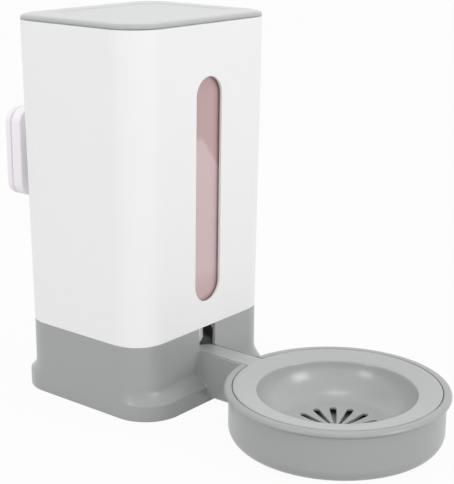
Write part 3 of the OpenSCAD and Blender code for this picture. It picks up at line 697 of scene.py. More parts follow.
def bowl_profile(sizes):
    """Half section of the bowl: edge round its foot, wall that rolls out to a round rim, ledge and floor."""
    outer, roll, edge = sizes.bowl_r, sizes.rim_roll, sizes.bowl_edge
    wall = sizes.bowl_wall
    inner, inner_edge = outer - wall, edge - wall
    top, rim = BASE_RIM, outer + roll
    roll_low, roll_top = top - ROLL_H, top - RIM_EDGE
    # Underside: a recess inside the narrow ring that the bowl stands on
    ring = outer - edge - BOWL_RING
    points = [(0, BOWL_RECESS), (ring, BOWL_RECESS), (ring, 0.3), (ring + 0.3, 0)]
    # Outside: the edge, and the wall that rolls out along half a wave to the rim
    points += arc(outer - edge, edge, edge, -90, 0, 14)
    for i in range(ROLL_STEPS + 1):
        u = i / ROLL_STEPS
        out = roll * (1 - math.cos(math.pi * u)) / 2
        points.append((outer + out, roll_low + (roll_top - roll_low) * u))
    points += arc(rim - RIM_EDGE, roll_top, RIM_EDGE, 12, 90, 8)
    # Inside: the wall, the ledge that the insert rests on, and the floor
    seat = INSERT_HIGH.z - sizes.insert_t - 0.5
    points += [(inner + 0.35, top), (inner + 0.1, top - 0.1), (inner, top - 0.35)]
    points += [(inner, seat), (inner - 2, seat), (inner - 2, seat - 1.2), (inner, seat - 3.2)]
    points += arc(inner - inner_edge, BOWL_FLOOR + inner_edge, inner_edge, 0, -90, 10)
    points.append((0, BOWL_FLOOR))
    return points


def dish_side(sizes):
    """Radius of the dish's curved side, so that it runs into the hollow floor without a kink."""
    rise = INSERT_HIGH.z - (sizes.flange_fall + sizes.dish_low)
    lean = math.tan(sizes.dish_slope) / 2
    across = sizes.dish_r * lean
    return (rise - across) / (math.cos(sizes.dish_slope) - lean * (1 - math.sin(sizes.dish_slope)))


def dish_hollow(sizes, margin, steps=8):
    """The dish's hollow floor from the axis to where the side starts, moved outwards by a margin."""
    side = dish_side(sizes)
    rim_z = INSERT_HIGH.z - sizes.flange_fall
    out = sizes.dish_r - side + (side + margin) * math.sin(sizes.dish_slope)
    rise = rim_z - (side + margin) * math.cos(sizes.dish_slope)
    low = sizes.dish_low - margin
    return [(out * i / steps, low + (rise - low) * (i / steps) ** 2) for i in range(steps)]


def flange_radius(sizes):
    """Outer radius of the insert's flange."""
    return sizes.bowl_r - sizes.bowl_wall - sizes.insert_play


def insert_profile(sizes):
    """Half section of the insert: dish floor, curved side, soft lip, sloping flange and seat."""
    curve, thick, fall = dish_side(sizes), sizes.insert_t, sizes.flange_fall
    lip, top, outer = sizes.dish_r, INSERT_HIGH.z, flange_radius(sizes)
    flat = lip - curve
    start = math.degrees(sizes.dish_slope) - 90
    lip_z = top - fall
    slope = fall / (outer - 2 - lip)
    seat_z = top - thick - 0.5
    seat_in = outer - 2.55
    points = dish_hollow(sizes, 0) + arc(flat, lip_z, curve, start, -3.5, 20)
    # The dish's lip is a soft round between its side and the flange
    points += [(lip + 0.12, lip_z - 0.55), (lip + 0.42, lip_z - 0.1)]
    points += [(lip + 0.95, lip_z + 0.14), (lip + 1.7, lip_z + slope * 1.7)]
    # The flange ends in a level strip with a rounded edge, over its seat
    points += [(outer - 2.6, top - slope * 0.6), (outer - 1.4, top), (outer - 0.5, top)]
    points += [(outer - 0.15, top - 0.15), (outer, top - 0.5), (outer, seat_z), (seat_in, seat_z)]
    # Underside, back to the axis
    points.append((seat_in, lip_z + slope * (seat_in - lip) - thick))
    points.append((lip + thick + 0.1, lip_z - thick + slope * (thick + 0.1)))
    points += arc(flat, lip_z, curve + thick, -4, start, 20)
    return points + dish_hollow(sizes, thick)[::-1]


def slot_cutter(sizes, low, high):
    """A cutter for one drinking slot along X: round and wide outside, narrow towards the centre."""
    wide, tip = sizes.slot_w / 2, sizes.slot_tip / 2
    out, start = sizes.slot_reach - wide, sizes.slot_start
    cutter = rod(wide, low, high, (out, 0), 32)
    edit(cutter)
    pick(lambda v: v.co.x < (out - 0.001) * MM)
    bpy.ops.transform.resize(value=(tip / wide, tip / wide, 1), center_override=(out * MM, 0, 0))
    bpy.ops.transform.translate(value=((start - out) * MM, 0, 0))
    leave_edit()
    return cutter


def bottle_rows(margin, tower, bowl):
    """Rows of the bottle drawn in by a margin: shoulder, upright body and domed end."""
    neck = tower.neck + 0.5
    gap = tower.shell_wall + tower.bottle_play
    low, rise, dome, dome_in = tower.shoulder, SHOULDER_H, DOME_H, DOME_IN
    rows = []
    half_x, half_y, corner, _, _ = shell_row(low + rise, gap, tower)
    for a in quarter(SHOULDER_STEPS):
        out = math.sin(a)
        row_x, row_y = neck + (half_x - neck) * out - margin, neck + (half_y - neck) * out - margin
        row_corner = neck - 0.05 + (corner - neck) * out - margin
        z = low + (rise - margin) * (1 - math.cos(a)) + margin
        rows.append((row_x, row_y, row_corner, z, -bowl.sump_y * (1 - out)))
    dome_low = BOTTLE_HIGH.z - dome
    half_x, half_y, corner, _, _ = shell_row(dome_low, gap, tower)
    for a in quarter(DOME_STEPS):
        inset = dome_in * (1 - math.cos(a)) + margin
        rows.append(row_in(half_x, half_y, corner, inset, dome_low + (dome - margin) * math.sin(a)))
    return rows


def cap_profile(sizes):
    """Section of the cap's ring: nozzle, floor, side with room for the ribs, mouth and valve seat."""
    bore, nozzle = 5.5, 7.7
    low, top, mouth = CAP_LOW_FACE, CAP_HIGH.z, CAP_LOW.z
    floor_z = low + 2.4
    seat_z = floor_z + 1
    side = CAP_HIGH.x - CAP_RIB
    inner = sizes.neck + 1.15
    points = [(bore, mouth), (nozzle - 0.5, mouth), (nozzle, mouth + 0.5), (nozzle, low)]
    points += [(side - 1, low), (side - 0.3, low + 0.3), (side, low + 1), (side, low + 1.6)]
    points += [(side, top - 1.6), (side, top - 1), (side - 0.3, top - 0.3), (side - 1, top), (inner, top)]
    return points + [(inner, floor_z), (nozzle, floor_z), (nozzle, seat_z), (bore, seat_z)]


def raise_ribs(cap, centre):
    """Moves every eighth line of points on the cap's side out to make its grip ribs."""
    side = (CAP_HIGH.x - CAP_RIB) * MM
    low, high = (CAP_LOW_FACE + 1.3) * MM, (CAP_HIGH.z - 1.3) * MM
    middle = Vector((centre[0], centre[1], 0)) * MM
    pitch = 360 / CAP_RIBS

    def on_rib(vertex, near):
        at = vertex.co - middle
        if not (low < at.z < high and abs(math.hypot(at.x, at.y) - side) < 0.02 * MM):
            return False
        turn = math.degrees(math.atan2(at.y, at.x)) % pitch
        return abs(min(turn, pitch - turn) - near) < 0.2

    # The crest of each rib, and the points on both sides of it
    for near, share in ((0, 1.0), (pitch / RIB_POINTS, 0.72)):
        edit(cap)
        pick(lambda v: on_rib(v, near))
        grow = (side + CAP_RIB * MM * share) / side
        bpy.ops.transform.resize(value=(grow, grow, 1), center_override=middle)
        leave_edit()
    smooth(cap, 40.0)


def crown(piece, radius, edge, steps=5):
    """Rounds the rim of both flat ends of an upright piece, ring by ring."""
    for side in (-1, 1):
        edit(piece, "FACE")
        pick(lambda f: f.normal.z * side > 0.99)
        level, width = 0.0, radius
        for a in quarter(steps)[1:]:
            new_width, new_level = radius - edge * (1 - math.cos(a)), edge * math.sin(a)
            up = (0, 0, side * (new_level - level) * MM)
            bpy.ops.mesh.extrude_region_move(TRANSFORM_OT_translate={"value": up})
            grow = new_width / width
            bpy.ops.transform.resize(value=(grow, grow, 1), center_override=(0, 0, 0))
            level, width = new_level, new_width
        leave_edit()


def plate(sizes, low_y, high_y):
    """A hanger plate with rounded corners and softly rounded faces."""
    half_x, half_z = PLATE_HIGH.x, (PLATE_HIGH.z - PLATE_LOW.z) / 2
    corner, edge = sizes.plate_r, sizes.plate_edge
    rows = []
    for a in quarter(5):
        z = -high_y + edge * (1 - math.cos(a))
        rows.append(row_in(half_x, half_z, corner, edge * (1 - math.sin(a)), z))
    for a in quarter(5):
        z = -low_y - edge * (1 - math.sin(a))
        rows.append(row_in(half_x, half_z, corner, edge * (1 - math.cos(a)), z))
    return face_back(loft(rows, 16), HANGER_Z)


def pockets(sizes, low_y, high_y):
    """The pockets between a plate's rim, its ribs and its bolt boss, as one cutter."""
    half_x, half_z = PLATE_HIGH.x - PLATE_RIM, (PLATE_HIGH.z - PLATE_LOW.z) / 2 - PLATE_RIM
    corner, half = sizes.plate_r - PLATE_RIM, PLATE_RIB / 2
    near, far = low_y - OVER, high_y + OVER
    cutter = loft([(half_x, half_z, corner, -y, 0.0) for y in (high_y, low_y)], 10)
    face_back(cutter, HANGER_Z)
    walls = []
    for k in range(-2, 3):
        x = k * RIB_PITCH
        walls.append(block((x - half, near, PLATE_LOW.z), (x + half, far, PLATE_HIGH.z)))
    cut(cutter, group(walls))
    cut(cutter, block((-half_x - 1, near, HANGER_Z - half), (half_x + 1, far, HANGER_Z + half)))
    cut(cutter, back_rod(BOLT_BOSS, near, far, 48))
    return cutter


# Materials


def add_node(tree, kind, settings=None, inputs=None, **links):
    """Adds a shader node. Its inputs are given by number or by name, as values or as links."""
    node = tree.nodes.new(kind)
    for key, value in (settings or {}).items():
        setattr(node, key, value)
    named = {key.replace("_", " "): value for key, value in links.items()}
    for key, value in {**(inputs or {}), **named}.items():
        if isinstance(value, bpy.types.NodeSocket):
            tree.links.new(value, node.inputs[key])
        else:
            node.inputs[key].default_value = value
    return node


def new_material(name):
    """An empty material and its tree."""
    material = bpy.data.materials.new(name)
    material.use_nodes = True
    material.node_tree.nodes.clear()
    return material, material.node_tree


def moulded_plastic(name, base, roughness=0.42, grain_mm=0.35, grain=0.06, mottle=0.012, **sockets):
    """Injection moulded plastic: spark-eroded grain, a faint mottle and uneven gloss."""
    material, tree = new_material(name)
    place = add_node(tree, "ShaderNodeTexCoord").outputs["Object"]
    fine = add_node(
        tree, "ShaderNodeTexNoise", Vector=place, Scale=1 / (grain_mm * MM), Detail=3.0, Roughness=0.6
    )
    broad = add_node(tree, "ShaderNodeTexNoise", Vector=place, Scale=1 / (MOTTLE_SIZE * MM), Detail=2.0)
    spread = broad.outputs["Fac"]
    low = tuple(c * (1 - mottle) for c in base[:3]) + (1.0,)
    high = tuple(min(1.0, c * (1 + mottle)) for c in base[:3]) + (1.0,)
    tint = add_node(tree, "ShaderNodeMix", {"data_type": "RGBA"}, {"Factor": spread, 6: low, 7: high})
    dull, bright = roughness + GLOSS_SPREAD, roughness - GLOSS_SPREAD
    gloss = add_node(tree, "ShaderNodeMapRange", Value=spread, To_Min=bright, To_Max=dull)
    bump = add_node(tree, "ShaderNodeBump", Height=fine.outputs["Fac"], Strength=grain, Distance=0.08 * MM)
    shader = add_node(
        tree,
        "ShaderNodeBsdfPrincipled",
        Base_Color=tint.outputs[2],
        Roughness=gloss.outputs["Result"],
        Normal=bump.outputs["Normal"],
        **sockets,
    )
    add_node(tree, "ShaderNodeOutputMaterial", Surface=shader.outputs[0])
    return material


def tinted_bottle(name, base):
    """PET bottle: a glossy pink tint, darker above a slanting line, and with painted shade lower down, where
    it narrows.
    """
    material = moulded_plastic(
        name, base, roughness=0.3, grain_mm=2.5, grain=0.02, mottle=0.02, IOR=1.57, Coat_Weight=0.2
    )
    tree = material.node_tree
    shader = next(node for node in tree.nodes if node.type == "BSDF_PRINCIPLED")
    plain = shader.inputs["Base Color"].links[0].from_socket
    place = add_node(tree, "ShaderNodeTexCoord").outputs["Object"]
    axes = add_node(tree, "ShaderNodeSeparateXYZ", Vector=place).outputs
    # The line's edge is level on the left and slants down on the right
    turn = add_node(tree, "ShaderNodeMath", {"operation": "MAXIMUM"}, {0: axes["X"], 1: LINE_TURN * MM})
    level = add_node(
        tree,
        "ShaderNodeMath",
        {"operation": "MULTIPLY_ADD"},
        {0: turn.outputs[0], 1: LINE_SLANT, 2: axes["Z"]},
    )
    line, blur = TINT_LINE * MM, LINE_BLUR * MM
    above = add_node(tree, "ShaderNodeMapRange", Value=level.outputs[0], From_Min=line, From_Max=line + blur)
    # Painted shade: the tint is deeper again where the bottle narrows, below the window
    high, low = SHOULDER_SHADE[0] * MM, SHOULDER_SHADE[1] * MM
    below = add_node(tree, "ShaderNodeMapRange", Value=axes["Z"], From_Min=high, From_Max=low)
    depth = add_node(
        tree,
        "ShaderNodeMath",
        {"operation": "MULTIPLY_ADD"},
        {0: below.outputs["Result"], 1: 0.6, 2: above.outputs["Result"]},
    )
    dark = tuple(c * share for c, share in zip(base[:3], DEEP_TINT)) + (1.0,)
    deep = add_node(
        tree, "ShaderNodeMix", {"data_type": "RGBA"}, {"Factor": depth.outputs[0], 6: plain, 7: dark}
    )
    tree.links.new(deep.outputs[2], shader.inputs["Base Color"])
    return material


def soft_rubber(name, base):
    """Silicone rubber: dull, with a faint dusty sheen."""
    return moulded_plastic(name, base, roughness=0.7, grain_mm=0.6, grain=0.1, mottle=0.03, Sheen_Weight=0.2)


def turned_metal(name, base, roughness):
    """Machined metal: fine turning marks round the upright axis and along the rod."""
    material, tree = new_material(name)
    place = add_node(tree, "ShaderNodeTexCoord").outputs["Object"]
    bands = {"bands_direction": "Y"}
    scale = 1 / (TURNING_PITCH * MM)
    wave = add_node(tree, "ShaderNodeTexWave", bands, Vector=place, Scale=scale, Distortion=0.4, Detail=2.0)
    bump = add_node(tree, "ShaderNodeBump", Height=wave.outputs["Fac"], Strength=0.15, Distance=0.05 * MM)
    shader = add_node(
        tree,
        "ShaderNodeBsdfPrincipled",
        Base_Color=base,
        Metallic=1.0,
        Roughness=roughness,
        Normal=bump.outputs["Normal"],
    )
    add_node(tree, "ShaderNodeOutputMaterial", Surface=shader.outputs[0])
    return material


# Pieces


class DISPENSER_OT_shell(bpy.types.Operator):
    """Model the white tower shell with its window, screw bosses and rail"""

    bl_idname = "dispenser.shell"
    bl_label = "Shell"

    def execute(self, context):
        sizes = in_mm(context.scene.dispenser_tower)
        clamp = in_mm(context.scene.dispenser_clamp)
        low, high = SHELL_LOW.z, SHELL_HIGH.z
        wall, front = sizes.shell_wall, sizes.foot_y
        shell = loft([shell_row(low, 0, sizes), shell_row(high, 0, sizes)])
        cut(shell, loft([shell_row(low - OVER, wall, sizes), shell_row(high + OVER, wall, sizes)]))
        # Window with half-round ends
        half = sizes.window_w / 2
        window_low = low + sizes.window_foot
        reach = (high - sizes.window_head - window_low) / 2
        rows = [(half, reach, half - 0.01, depth, 0.0) for depth in (front - 4 * wall, front + 4 * wall)]
        cut(shell, face_back(loft(rows, segments=24), window_low + reach))
        # Screw bosses, each tied to its corner by a web
        places = boss_places(sizes)
        weld(shell, rods(places, BOSS_R, low, low + BOSS_H))
        weld(shell, group([boss_web(x, y, low + LIP_CLEAR, low + BOSS_H, sizes) for x, y in places]))
        cut(shell, rods(places, SCREW_R, low - OVER, low + BOSS_H - 0.6, 24))
        # Rail that hangs in the mount plate's socket
        neck, head, rail_y = clamp.rail_neck / 2, clamp.rail_head / 2, clamp.rail_y
        rail_low, rail_high = clamp.rail_low, clamp.rail_high
        weld(shell, block((-neck, front - 1, rail_low), (neck, rail_y + 1, rail_high)))
        rail = block((-head, rail_y, rail_low), (head, SHELL_HIGH.y, rail_high))
        weld(shell, round_edges(rail, lambda e: True, 0.5, 2))
        inner_x, inner_y = sizes.foot_x - wall - 0.5, front - wall - 0.5
        outer_y = front + 4

        def on_wall(v):
            """True in the shell's wall, away from the bosses and the rail."""
            return abs(v.y) < outer_y and (abs(v.y) > inner_y or abs(v.x) > inner_x)

        soften(shell, sizes.soft_edge, on_wall)
        # White ABS from a finely eroded mould: satin, with soft highlights
        material = moulded_plastic("white_abs", context.scene.dispenser_finishes.shell_white, 0.42)
        hand_over(shell, "tower_shell", TOWER, "white_shell", material, "outer_shell")
        return {"FINISHED"}


class DISPENSER_OT_lid(bpy.types.Operator):
    """Model the lid with its rounded edge, shallow hollow and skirt"""

    bl_idname = "dispenser.lid"
    bl_label = "Lid"

    def execute(self, context):
        sizes = in_mm(context.scene.dispenser_tower)
        half_x, half_y, corner, base, _ = shell_row(SHELL_HIGH.z, 0, sizes)
        outline = (half_x, half_y, corner)
        step, rim_z, top = sizes.lid_step, base + sizes.lid_gap, LID_HIGH.z
        edge_z, round_w = rim_z + sizes.lid_edge, sizes.lid_round
        # Foot, shadow gap, and the rim with its lower edge softened by one short row
        rows = [row_in(*outline, step, base), row_in(*outline, step, rim_z)]
        rows += [row_in(*outline, 0.3, rim_z), row_in(*outline, 0, rim_z + 0.3)]
        for a in quarter(LID_STEPS):
            rows.append(row_in(*outline, round_w * (1 - math.cos(a)), edge_z + (top - edge_z) * math.sin(a)))
        lid = loft(rows, 24)
        play = sizes.shell_wall + sizes.lid_play
        inner = play + sizes.lid_wall
        skirt_top = base + sizes.lid_gap / 2
        skirt = loft([shell_row(LID_LOW.z, play, sizes), shell_row(skirt_top, play, sizes)])
        cut(skirt, loft([shell_row(LID_LOW.z - OVER, inner, sizes), shell_row(base, inner, sizes)]))
        weld(lid, skirt)
        depth, margin, slope = sizes.lid_hollow, sizes.lid_margin, sizes.lid_slope
        rows = []
        for i in range(LID_STEPS + 1):
            inset = margin + slope * (1 - i / LID_STEPS)
            z = top - depth * (1 + math.cos(math.pi * i / LID_STEPS)) / 2
            rows.append((half_x - inset, half_y - inset, corner - inset / 4, z, 0.0))
        rows.append((half_x - margin, half_y - margin, corner - margin / 4, top + OVER, 0.0))
        cut(lid, loft(rows, 24))
        smooth(lid)
        # Grey ABS from a polished mould, the base's plastic with its grey painted lighter for the light on
        # its top: glossy enough to mirror the pale room
        material = moulded_plastic(
            "grey_lid_abs", context.scene.dispenser_finishes.lid_grey, 0.16, grain=0.01
        )
        hand_over(lid, "tower_lid", TOWER, "grey_lid", material, "lid")
        return {"FINISHED"}


def base_walls(tower):
    """The base's walls and deck, the lip that locates the shell, and the bosses."""
    top, wall, deck = SHELL_LOW.z, tower.base_wall, tower.deck_h
    deck_top = deck + tower.floor_t
    base = loft([base_row(z, 0, tower) for z in base_heights(0, top, tower)], 20)
    cut(base, loft([base_row(z, wall, tower) for z in base_heights(-OVER, deck, tower)], 20))
    cut(base, loft([base_row(z, wall, tower) for z in base_heights(deck_top, top + OVER, tower)], 20))
    lip_out = tower.shell_wall + tower.lip_play
    lip_in = max(lip_out, wall) + tower.lip_wall
    lip_low, lip_high = top - tower.lip_h - 1, BASE_HIGH.z
    rows = ((lip_low, 1.2), (top - 1, 1.2), (top - 1, lip_out), (lip_high, lip_out))
    lip = loft([straight_row(z, margin, tower) for z, margin in rows])
    cut(lip, loft([straight_row(z, lip_in, tower) for z in (lip_low - OVER, lip_high + OVER)]))
    weld(base, lip)
    places = boss_places(tower)
    weld(base, rods(places, BOSS_R, deck, top))
    weld(base, group([boss_web(x, y, deck, top, tower) for x, y in places]))
    cut(base, rods(places, SCREW_R + SCREW_HEAD, deck - OVER, top - 6, 32))
    cut(base, rods(places, SCREW_R, deck, top + OVER, 24))
    return base


def add_sump(base, bowl, floor_t):
    """Adds the sump, the pin that opens the valve and the ribs that carry the cap."""
    sump = (0, -bowl.sump_y)
    sump_r, floor_z = bowl.sump_r, bowl.sump_floor
    weld(base, rod(sump_r + floor_t, floor_z - floor_t, bowl.sump_top, sump, 96))
    cut(base, rod(sump_r, floor_z, SHELL_LOW.z + OVER, sump, 96))
    weld(base, rod(bowl.pin_r, floor_z - 1, bowl.pin_top, sump, 32))
    ribs = []
    for k in range(4):
        rib = block((CAP_HIGH.x - 6, -1, floor_z - 1), (sump_r + 1, 1, CAP_LOW_FACE))
        ribs.append(turn_about(rib, math.radians(45 + 90 * k), sump))
    weld(base, group(ribs))


def add_arm_and_bowl(base, bowl, front, wall, floor_t):
    """Adds the arm, the bowl, the channel through both and the steps that carry the tongue."""
    sump_front = -bowl.sump_y - bowl.sump_r
    half, low = bowl.channel_w / 2, bowl.arm_low
    arm_half = half + bowl.arm_wall
    bowl_y = bowl.bowl_y
    rim_y = bowl.bowl_r - bowl.bowl_wall - bowl_y
    weld(base, arm_bar(arm_half, -front, sump_front - 0.5, low, bowl.sump_top))
    weld(base, arm_bar(arm_half, rim_y, wall / 2 - front, low, INSERT_HIGH.z))
    weld(base, arm_bar(arm_half, rim_y - ARM_ROOT, rim_y + 1, low, low + floor_t))
    weld(base, turned(bowl_profile(bowl), (0, -bowl_y), 144))
    cut(base, block((-half, rim_y - RIM_CUT, low + floor_t), (half, sump_front + 4, BASE_HIGH.z + OVER)))
    step_top = INSERT_HIGH.z - bowl.insert_t
    steps = []
    for side in (-1, 1):
        x = sorted((side * (half - 1.5), side * (half + 0.5)))
        steps.append(block((x[0], rim_y + 2, step_top - 2.4), (x[1], -front - 2, step_top)))
    weld(base, group(steps))


class DISPENSER_OT_base(bpy.types.Operator):
    """Model the grey base with its sump, its channel arm and the bowl, all one moulding"""

    bl_idname = "dispenser.base"
    bl_label = "Base, arm and bowl"

    def execute(self, context):
        tower = in_mm(context.scene.dispenser_tower)
        bowl = in_mm(context.scene.dispenser_bowl)
        wall, floor_t, front = tower.base_wall, tower.floor_t, tower.foot_y
        base = base_walls(tower)
        add_sump(base, bowl, floor_t)
        add_arm_and_bowl(base, bowl, front, wall, floor_t)
        half, bowl_y = bowl.channel_w / 2, bowl.bowl_y
        bowl_inner = bowl.bowl_r - bowl.bowl_wall
        inner_x, inner_y = tower.foot_x - wall - 0.1, front - wall - 0.1

        def outside(v):
            """True on the base's outer walls, its foot, its notch, the arm and the bowl's rim."""
            hollow = abs(v.x) < inner_x and abs(v.y) < inner_y and v.z > 0.1
            in_bowl = math.hypot(v.x, v.y + bowl_y) < bowl_inner - 0.2
            on_step = v.y < -front - 1 and abs(v.x) < half + 0.1
            return not hollow and not in_bowl and not on_step and v.z < SHELL_LOW.z + 0.1

        soften(base, tower.soft_edge, outside)
        # Grey ABS from a smooth mould: semi-gloss, with a clear sheen along the rim
        paint = context.scene.dispenser_finishes.base_grey
        material = moulded_plastic("grey_abs", paint, 0.3, grain=0.02, Specular_IOR_Level=0.8)
        hand_over(base, "base_and_bowl", TOWER, "grey_body", material, "base_tray")
        return {"FINISHED"}


class DISPENSER_OT_insert(bpy.types.Operator):
    """Model the bowl's insert: flange, dish, drinking slots and the tongue over the channel"""

    bl_idname = "dispenser.insert"
    bl_label = "Bowl insert"

    def execute(self, context):
        bowl = in_mm(context.scene.dispenser_bowl)
        centre = (0, -bowl.bowl_y)
        thick, top, rim_r = bowl.insert_t, INSERT_HIGH.z, flange_radius(bowl)
        insert = turned(insert_profile(bowl), centre, 168)
        half = bowl.channel_w / 2 - 2 * bowl.insert_play
        tongue = block((-half, centre[1] + rim_r - 1, top - thick), (half, INSERT_HIGH.y, top))
        end_y = INSERT_HIGH.y * MM

        def at_end(edge):
            """True for the upright edges at the tongue's end."""
            return all(abs(v.co.y - end_y) < 1e-6 for v in edge.verts) and upright(edge)

        weld(insert, round_edges(tongue, at_end, TONGUE_CORNER, 10))
        low, high = bowl.dish_low - thick - OVER, top - bowl.flange_fall
        cutters = []
        for k in range(bowl.slot_count):
            turn = math.radians(90 + 360 * k / bowl.slot_count)
            cutters.append(turn_about(slot_cutter(bowl, low, high), turn, centre))
        cut(insert, group(cutters))
        slot_r = bowl.slot_reach + 0.1

        def exposed(v):
            """True round the slots and along the tongue."""
            out = math.hypot(v.x, v.y - centre[1])
            return out < slot_r or out > rim_r + 0.5

        soften(insert, bowl.insert_edge, exposed)
        # The same ABS, glossier, with its grey painted lighter for the light on its flange: its dish throws
        # bright streaks of the lamps
        paint = context.scene.dispenser_finishes.insert_grey
        material = moulded_plastic("pale_grey_abs", paint, 0.25, grain=0.02, Specular_IOR_Level=1.0)
        hand_over(insert, "dish_insert", TOWER, "grey_insert", material, "bowl_insert")
        return {"FINISHED"}


class DISPENSER_OT_bottle(bpy.types.Operator):
    """Model the tinted bottle and its ribbed cap"""

    bl_idname = "dispenser.bottle"
    bl_label = "Bottle and cap"

    def execute(self, context):
        tower = in_mm(context.scene.dispenser_tower)
        bowl = in_mm(context.scene.dispenser_bowl)
        paint = context.scene.dispenser_finishes
        sump = (0, -bowl.sump_y)
        wall, neck = tower.bottle_wall, tower.neck
        low, neck_top = BOTTLE_LOW.z, tower.shoulder
        bottle = loft(bottle_rows(0, tower, bowl), 16)
        weld(bottle, rod(neck, low, neck_top + wall, sump, 96))
        cut(bottle, loft(bottle_rows(wall, tower, bowl), 16))
        cut(bottle, rod(neck - 2.6, low - OVER, neck_top + 2 * wall + OVER, sump, 96))
        inner, crest = neck - 0.5, neck + 0.8
        for z in (low + 3, low + 7):
            ring = [(inner, z - 1), (neck, z - 1), (crest, z - 0.3), (crest, z + 0.3), (neck, z + 1)]
            weld(bottle, turned(ring + [(inner, z + 1)], sump, 96))
        smooth(bottle)
        material = tinted_bottle("pink_pet", paint.bottle_pink)
        hand_over(bottle, "pink_bottle", TOWER, "pink_bottle", material, "water_bottle")
        cap = turned(cap_profile(tower), sump, CAP_RIBS * RIB_POINTS)
        raise_ribs(cap, sump)
        # White polypropylene with a painted glow: an emission stands in for the light that the thin white
        # shell lets in on it
        painted_glow = {"Emission_Color": (1, 1, 1, 1), "Emission_Strength": 0.3}
        material = moulded_plastic("white_polypropylene", paint.cap_white, 0.45, **painted_glow)
        hand_over(cap, "ribbed_cap", TOWER, "white_cap", material, "bottle_cap")
        return {"FINISHED"}


class DISPENSER_OT_plates(bpy.types.Operator):
    """Model the mount plate with its socket, and the clamp plate"""

    bl_idname = "dispenser.plates"
    bl_label = "Clamp plates"

    def execute(self, context):
        clamp = in_mm(context.scene.dispenser_clamp)
        mount_y, back_y = MOUNT_HIGH.y - clamp.mount_t, MOUNT_HIGH.y
        skin, play, bolt = clamp.plate_skin, clamp.rail_play, clamp.bolt_d / 2
        mount = plate(clamp, mount_y, back_y)
        # Socket for the tower's rail, open at its top
        half = clamp.rail_head / 2 + play + clamp.socket_wall
        low, high = clamp.rail_low, clamp.rail_high - play
        socket = block((-half, MOUNT_LOW.y, SOCKET_LOW), (half, mount_y + 1, high))
        weld(mount, round_edges(socket, lambda e: True, 0.8, 3))
        cut(mount, pockets(clamp, mount_y + skin, back_y + OVER))
        head, neck = clamp.rail_head / 2 + play, clamp.rail_neck / 2 + play
        cut(mount, block((-head, clamp.rail_y - play, low), (head, mount_y, high + 5)))
        cut(mount, block((-neck, MOUNT_LOW.y - OVER, low), (neck, mount_y - 0.5, high + 5)))
        # Bore, square recess for the bolt's head, and round recess for its clip
        cut(mount, back_rod(bolt + 0.05, mount_y - OVER, back_y + OVER))
        head = clamp.bolt_head / 2 + 0.05
        near, far = (-head, mount_y - OVER, HANGER_Z - head), (head, mount_y + 3.9, HANGER_Z + head)
        cut(mount, block(near, far))
        cut(mount, back_rod(CLIP_R, back_y - CLIP_T, back_y + OVER))
        smooth(mount)
        # White ABS with a hint of lilac, satin
        material = moulded_plastic("clamp_abs", context.scene.dispenser_finishes.clamp_white, 0.42)
        hand_over(mount, "mount_plate_and_socket", TOWER, "white_clamp", material, "mount_plate")
        outer = plate(clamp, PLATE_LOW.y, PLATE_HIGH.y)
        cut(outer, pockets(clamp, PLATE_LOW.y - OVER, PLATE_HIGH.y - skin))
        cut(outer, back_rod(bolt + 0.1, PLATE_LOW.y - OVER, PLATE_HIGH.y + OVER))
        smooth(outer)
        hand_over(outer, "outer_clamp_plate", CLAMP, "white_clamp", material, "clamp_plate")
        return {"FINISHED"}


class DISPENSER_OT_knob(bpy.types.Operator):
    """Model the scalloped clamp knob and the cover over the bolt's end"""

    bl_idname = "dispenser.knob"
    bl_label = "Clamp knob"

    def execute(self, context):
        clamp = in_mm(context.scene.dispenser_clamp)
        low, high = KNOB_LOW.y, KNOB_HIGH.y
        radius, edge, scallop = clamp.knob_d / 2, clamp.knob_edge, clamp.scallop_r
        knob = rod(radius, edge - high, -low - edge, steps=160)
        out = radius + scallop / 2
        for k in range(clamp.scallops):
            a = 2 * math.pi * k / clamp.scallops
            cut(knob, rod(scallop, -high - OVER, OVER - low, (out * math.cos(a), out * math.sin(a)), 64))
        sharp = math.radians(25)
        knob = round_edges(knob, lambda e: upright(e) and e.calc_face_angle(0) > sharp, 0.9, 5)
        crown(knob, radius, edge)
        face_back(knob, HANGER_Z)
        cover_r, cover_t = clamp.cap_r, clamp.cap_t
        cut(knob, back_rod(cover_r + 0.05, high - cover_t, high + OVER, 64))
        cut(knob, back_rod(clamp.bolt_d / 2 + 0.2, low - OVER, high + OVER, 48))
        cut(knob, back_rod(NUT_R, low - OVER, low + NUT_T, 6))
        smooth(knob)
        # White ABS, smoothed where hands turn it
        material = moulded_plastic("knob_abs", context.scene.dispenser_finishes.clamp_white, 0.4)
        hand_over(knob, "hand_knob", KNOB, "white_clamp", material, "clamp_knob")
        face = [(0, -high), (cover_r - 0.6, -high), (cover_r - 0.2, 0.15 - high), (cover_r, 0.5 - high)]
        cover = back_turned(face + [(cover_r, cover_t - high), (0, cover_t - high)])
        smooth(cover)
        hand_over(cover, "knob_cover", KNOB, "white_clamp", material, "knob_cap")
        return {"FINISHED"}


